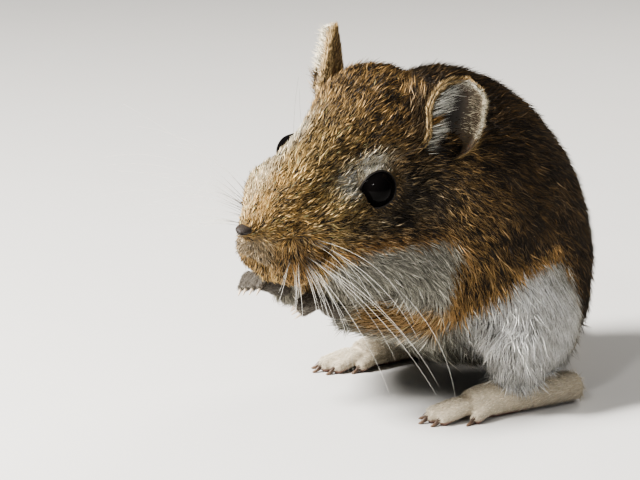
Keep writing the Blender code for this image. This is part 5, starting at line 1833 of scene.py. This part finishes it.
@dataclass
class Tail:
    """The bristly tail, laid on the floor, with its dark tuft."""

    line: tuple = ((0.0, 22.5), (0.0, 27.5), (-5.0, 33.0), (-14.0, 38.5), (-27.0, 42.5),
                   (-41.0, 43.0), (-54.0, 38.5), (-64.0, 29.5), (-69.5, 18.0))
    heights: tuple = (9.0, 6.2, 3.2)
    radii: tuple = (4.0, 3.7, 3.1, 2.7, 2.5, 2.35, 2.2, 2.1, 1.5)
    sink: float = 0.25
    under_fur: float = 0.80
    rings: int = 160
    sides: int = 20
    hairs: int = 13000

    def middle(self, count: int) -> Array:
        """Rows of x, y, z and radius along the tail."""
        rows = []
        for i, ((x, y), radius) in enumerate(zip(self.line, self.radii)):
            height = self.heights[i] if i < len(self.heights) else radius - self.sink
            rows.append((x, y, height, radius))
        return smooth_line(rows, count)

    def build(self) -> None:
        """Makes the tail's skin, its bristles and its tuft."""
        rows = self.middle(self.rings)
        along = np.linspace(0, 1, self.rings)
        radii = rows[:, 3] * (self.under_fur - 0.45 * ramp(0.80, 0.97, along))
        lower = rows[:, :3] - np.array((0, 0, 1.0)) * (rows[:, 3] - radii)[:, None] * 0.5
        points, faces = tube(lower, radii, self.sides)
        points[:, 2] = np.maximum(points[:, 2], FLOOR_GAP)
        skin = Surface(points, faces)
        share = np.append(np.repeat(along, self.sides), (0.0, 1.0))
        # The tail's skin is half its colour: partly darker underfur, partly painted shade between the
        # bristles.
        mesh_piece("tail", points, faces, UNDERFUR, "tail_coat",
                   ("tail_base", "tail_middle", "tail_tip"), self.shade(skin, share) * 0.5)
        self.grow_fur(skin, share, rows[:, :3])

    def shade(self, skin: Surface, share: Array) -> Array:
        """Brown above and buff below, black towards the tip."""
        up = skin.normals[:, 2]
        colour = mixed(Pigment.TAIL_SKIN, Pigment.BUFF, (1 - ramp(-0.5, 0.2, up)) * 0.8)
        return mixed(colour, Pigment.BLACK, ramp(0.62, 0.85, share) * ramp(-0.9, 0.3, up))

    def grow_fur(self, skin: Surface, share: Array, line: Array) -> None:
        """Bristles that lie towards the tip and grow longer into the tuft.

        Args:
            skin: the tail's surface.
            share: the share of the tail's length at each of its points.
            line: the tail's middle line.
        """
        rng = np.random.default_rng(91)
        weight = 1.0 + 3.0 * ramp(0.76, 0.84, share) * (1 - 0.9 * ramp(0.93, 0.97, share))
        count = self.hairs
        roots, outward = skin.scatter(count, weight, rng)
        nearest = ((roots[:, None] - line[None, ::4]) ** 2).sum(axis=2).argmin(axis=1) * 4
        place = nearest / (len(line) - 1)
        long = ramp(0.78, 0.88, place)
        further = np.minimum(nearest + (4 + 12 * long).astype(int), len(line) - 1)
        ahead = np.where((further > nearest + 2)[:, None], line[further] - line[nearest],
                         line[-1] - line[-6])
        along = laid_into(unit(ahead) + rng.normal(0, 0.06, (count, 3)), outward)
        length = np.minimum(1.9 + 7.5 * long, 2.6 + 100.0 * (1 - place))
        length *= rng.uniform(0.7, 1.15, count)
        lift = np.radians(rng.uniform(8, 22, count)) * np.where(outward[:, 2] < 0, 0.3, 1.0)
        tufts = Tufts(roots, outward, along, length, 0.09 * rng.uniform(0.8, 1.3, count),
                      lift * (1 - 0.6 * long), swing=rng.normal(0, 0.06, count))
        under = (1 - ramp(-0.5, 0.2, outward[:, 2])) * 0.8
        dark = (rng.random(count) < 0.35) * 0.85 * ramp(-0.4, 0.2, outward[:, 2])
        colour = mixed(mixed(Pigment.TAIL_BROWN, Pigment.BUFF, under), Pigment.BLACK, dark)
        colour = mixed(colour, Pigment.BLACK, ramp(0.6, 0.82, place))
        around = np.arctan2(outward[:, 2], outward[:, 0]) / (2 * math.pi) + 0.5
        grow("tail_bristles", tufts, (colour * 0.6, colour, colour),
             np.stack([around, place], axis=1) * 0.98 + 0.01, "tuft_hair")


# The studio


@dataclass(frozen=True)
class Lamp:
    """A round area light that looks at the model, in millimetres and watts."""

    name: str
    place: Point
    size: float
    power: float
    colour: Colour
    glossy: bool = False

    def build(self, target: Array) -> None:
        """Hangs the lamp so that it looks at a target."""
        light = bpy.data.lights.new(self.name, "AREA")
        light.shape = "DISK"
        light.energy = self.power
        light.size = self.size * MM
        light.color = self.colour
        holder = new_object(self.name, light)
        holder.visible_glossy = self.glossy
        holder.location = POSE.to_row(np.array([self.place]))[0]
        way = Vector(target - np.array(self.place))
        holder.rotation_euler = way.to_track_quat("-Z", "Y").to_euler()


@dataclass
class Studio:
    """A plain pale floor, soft light, and a camera at the photographed angle."""

    azimuth: float = 60.0
    elevation: float = 14.0
    distance: float = 450.0
    target: Point = (0.0, 0.0, 24.3)
    pixels: tuple[float, float] = (88.0, 5.0)
    per_mm: float = 6.25
    frame_width: float = 640.0
    sensor: float = 36.0
    lamps: tuple[Lamp, ...] = (
        Lamp("key", (-60.0, -400.0, 400.0), 170.0, 12.5, (1.0, 0.975, 0.94), True),
        Lamp("fill", (430.0, 60.0, 150.0), 300.0, 0.45, (0.93, 0.96, 1.0)),
        Lamp("rim", (-160.0, 330.0, 300.0), 200.0, 1.0, (1.0, 0.95, 0.88)),
        Lamp("catch", (230.0, -269.0, 298.0), 45.0, 0.5, (1.0, 0.98, 0.95), True))
    sky: Colour = (0.80, 0.82, 0.85)
    sky_strength: float = 0.13

    def axes(self) -> tuple[Array, Array, Array]:
        """Unit vectors from the model to the camera, to its right and up."""
        a, e = math.radians(self.azimuth), math.radians(self.elevation)
        back = np.array((math.sin(a) * math.cos(e), -math.cos(a) * math.cos(e), math.sin(e)))
        right = np.array((math.cos(a), math.sin(a), 0.0))
        return back, right, np.cross(back, right)

    def build(self) -> None:
        """Makes the floor, the lights, the world and the camera."""
        back, right, up = self.axes()
        target = np.array(self.target)
        eye = target + back * self.distance
        aim = target - right * self.pixels[0] / self.per_mm + up * self.pixels[1] / self.per_mm
        camera = bpy.data.cameras.new("camera")
        camera.lens = self.sensor * self.per_mm * self.distance / self.frame_width
        camera.sensor_width = self.sensor
        holder = new_object("camera", camera)
        holder.location = POSE.to_row(eye[None])[0]
        way = Vector(aim - eye)
        holder.rotation_euler = way.to_track_quat("-Z", "Y").to_euler()
        bpy.context.scene.camera = holder
        self.floor()
        for lamp in self.lamps:
            lamp.build(target)
        world = bpy.data.worlds.new("studio")
        world.use_nodes = True
        backdrop = world.node_tree.nodes["Background"]
        backdrop.inputs["Color"].default_value = (*self.sky, 1.0)
        backdrop.inputs["Strength"].default_value = self.sky_strength
        bpy.context.scene.world = world
        bpy.context.scene.view_settings.look = "AgX - Medium High Contrast"

    def floor(self) -> None:
        """A wide pale disc whose top is at the level of the soles."""
        angles = np.linspace(0, 2 * math.pi, 97)[:-1]
        rings = np.array((0.0001, 200.0, 900.0, 2600.0))
        points = np.stack([np.outer(rings, np.cos(angles)), np.outer(rings, np.sin(angles)),
                           np.zeros((len(rings), len(angles)))], axis=-1).reshape(-1, 3)
        faces = grid_faces(len(rings), len(angles))[:, ::-1]
        mesh = bpy.data.meshes.new("floor")
        mesh.from_pydata((points * MM).tolist(), [], faces.tolist())
        mesh.materials.append(FLOOR.material())
        new_object("floor", mesh)


def main() -> None:
    """Builds every piece in order."""
    logging.basicConfig(level=logging.INFO, format="%(name)s: %(message)s")
    Studio().build()
    skin = Skin().build()
    for side in Side:
        Eye(side).build()
        Ear(side).build()
        Whiskers(side).build(skin)
        Foot(side).build()
        Forepaw(side).build()
    Nose().build()
    Tail().build()
    Coat().build(skin)


if __name__ == "__main__":
    main()
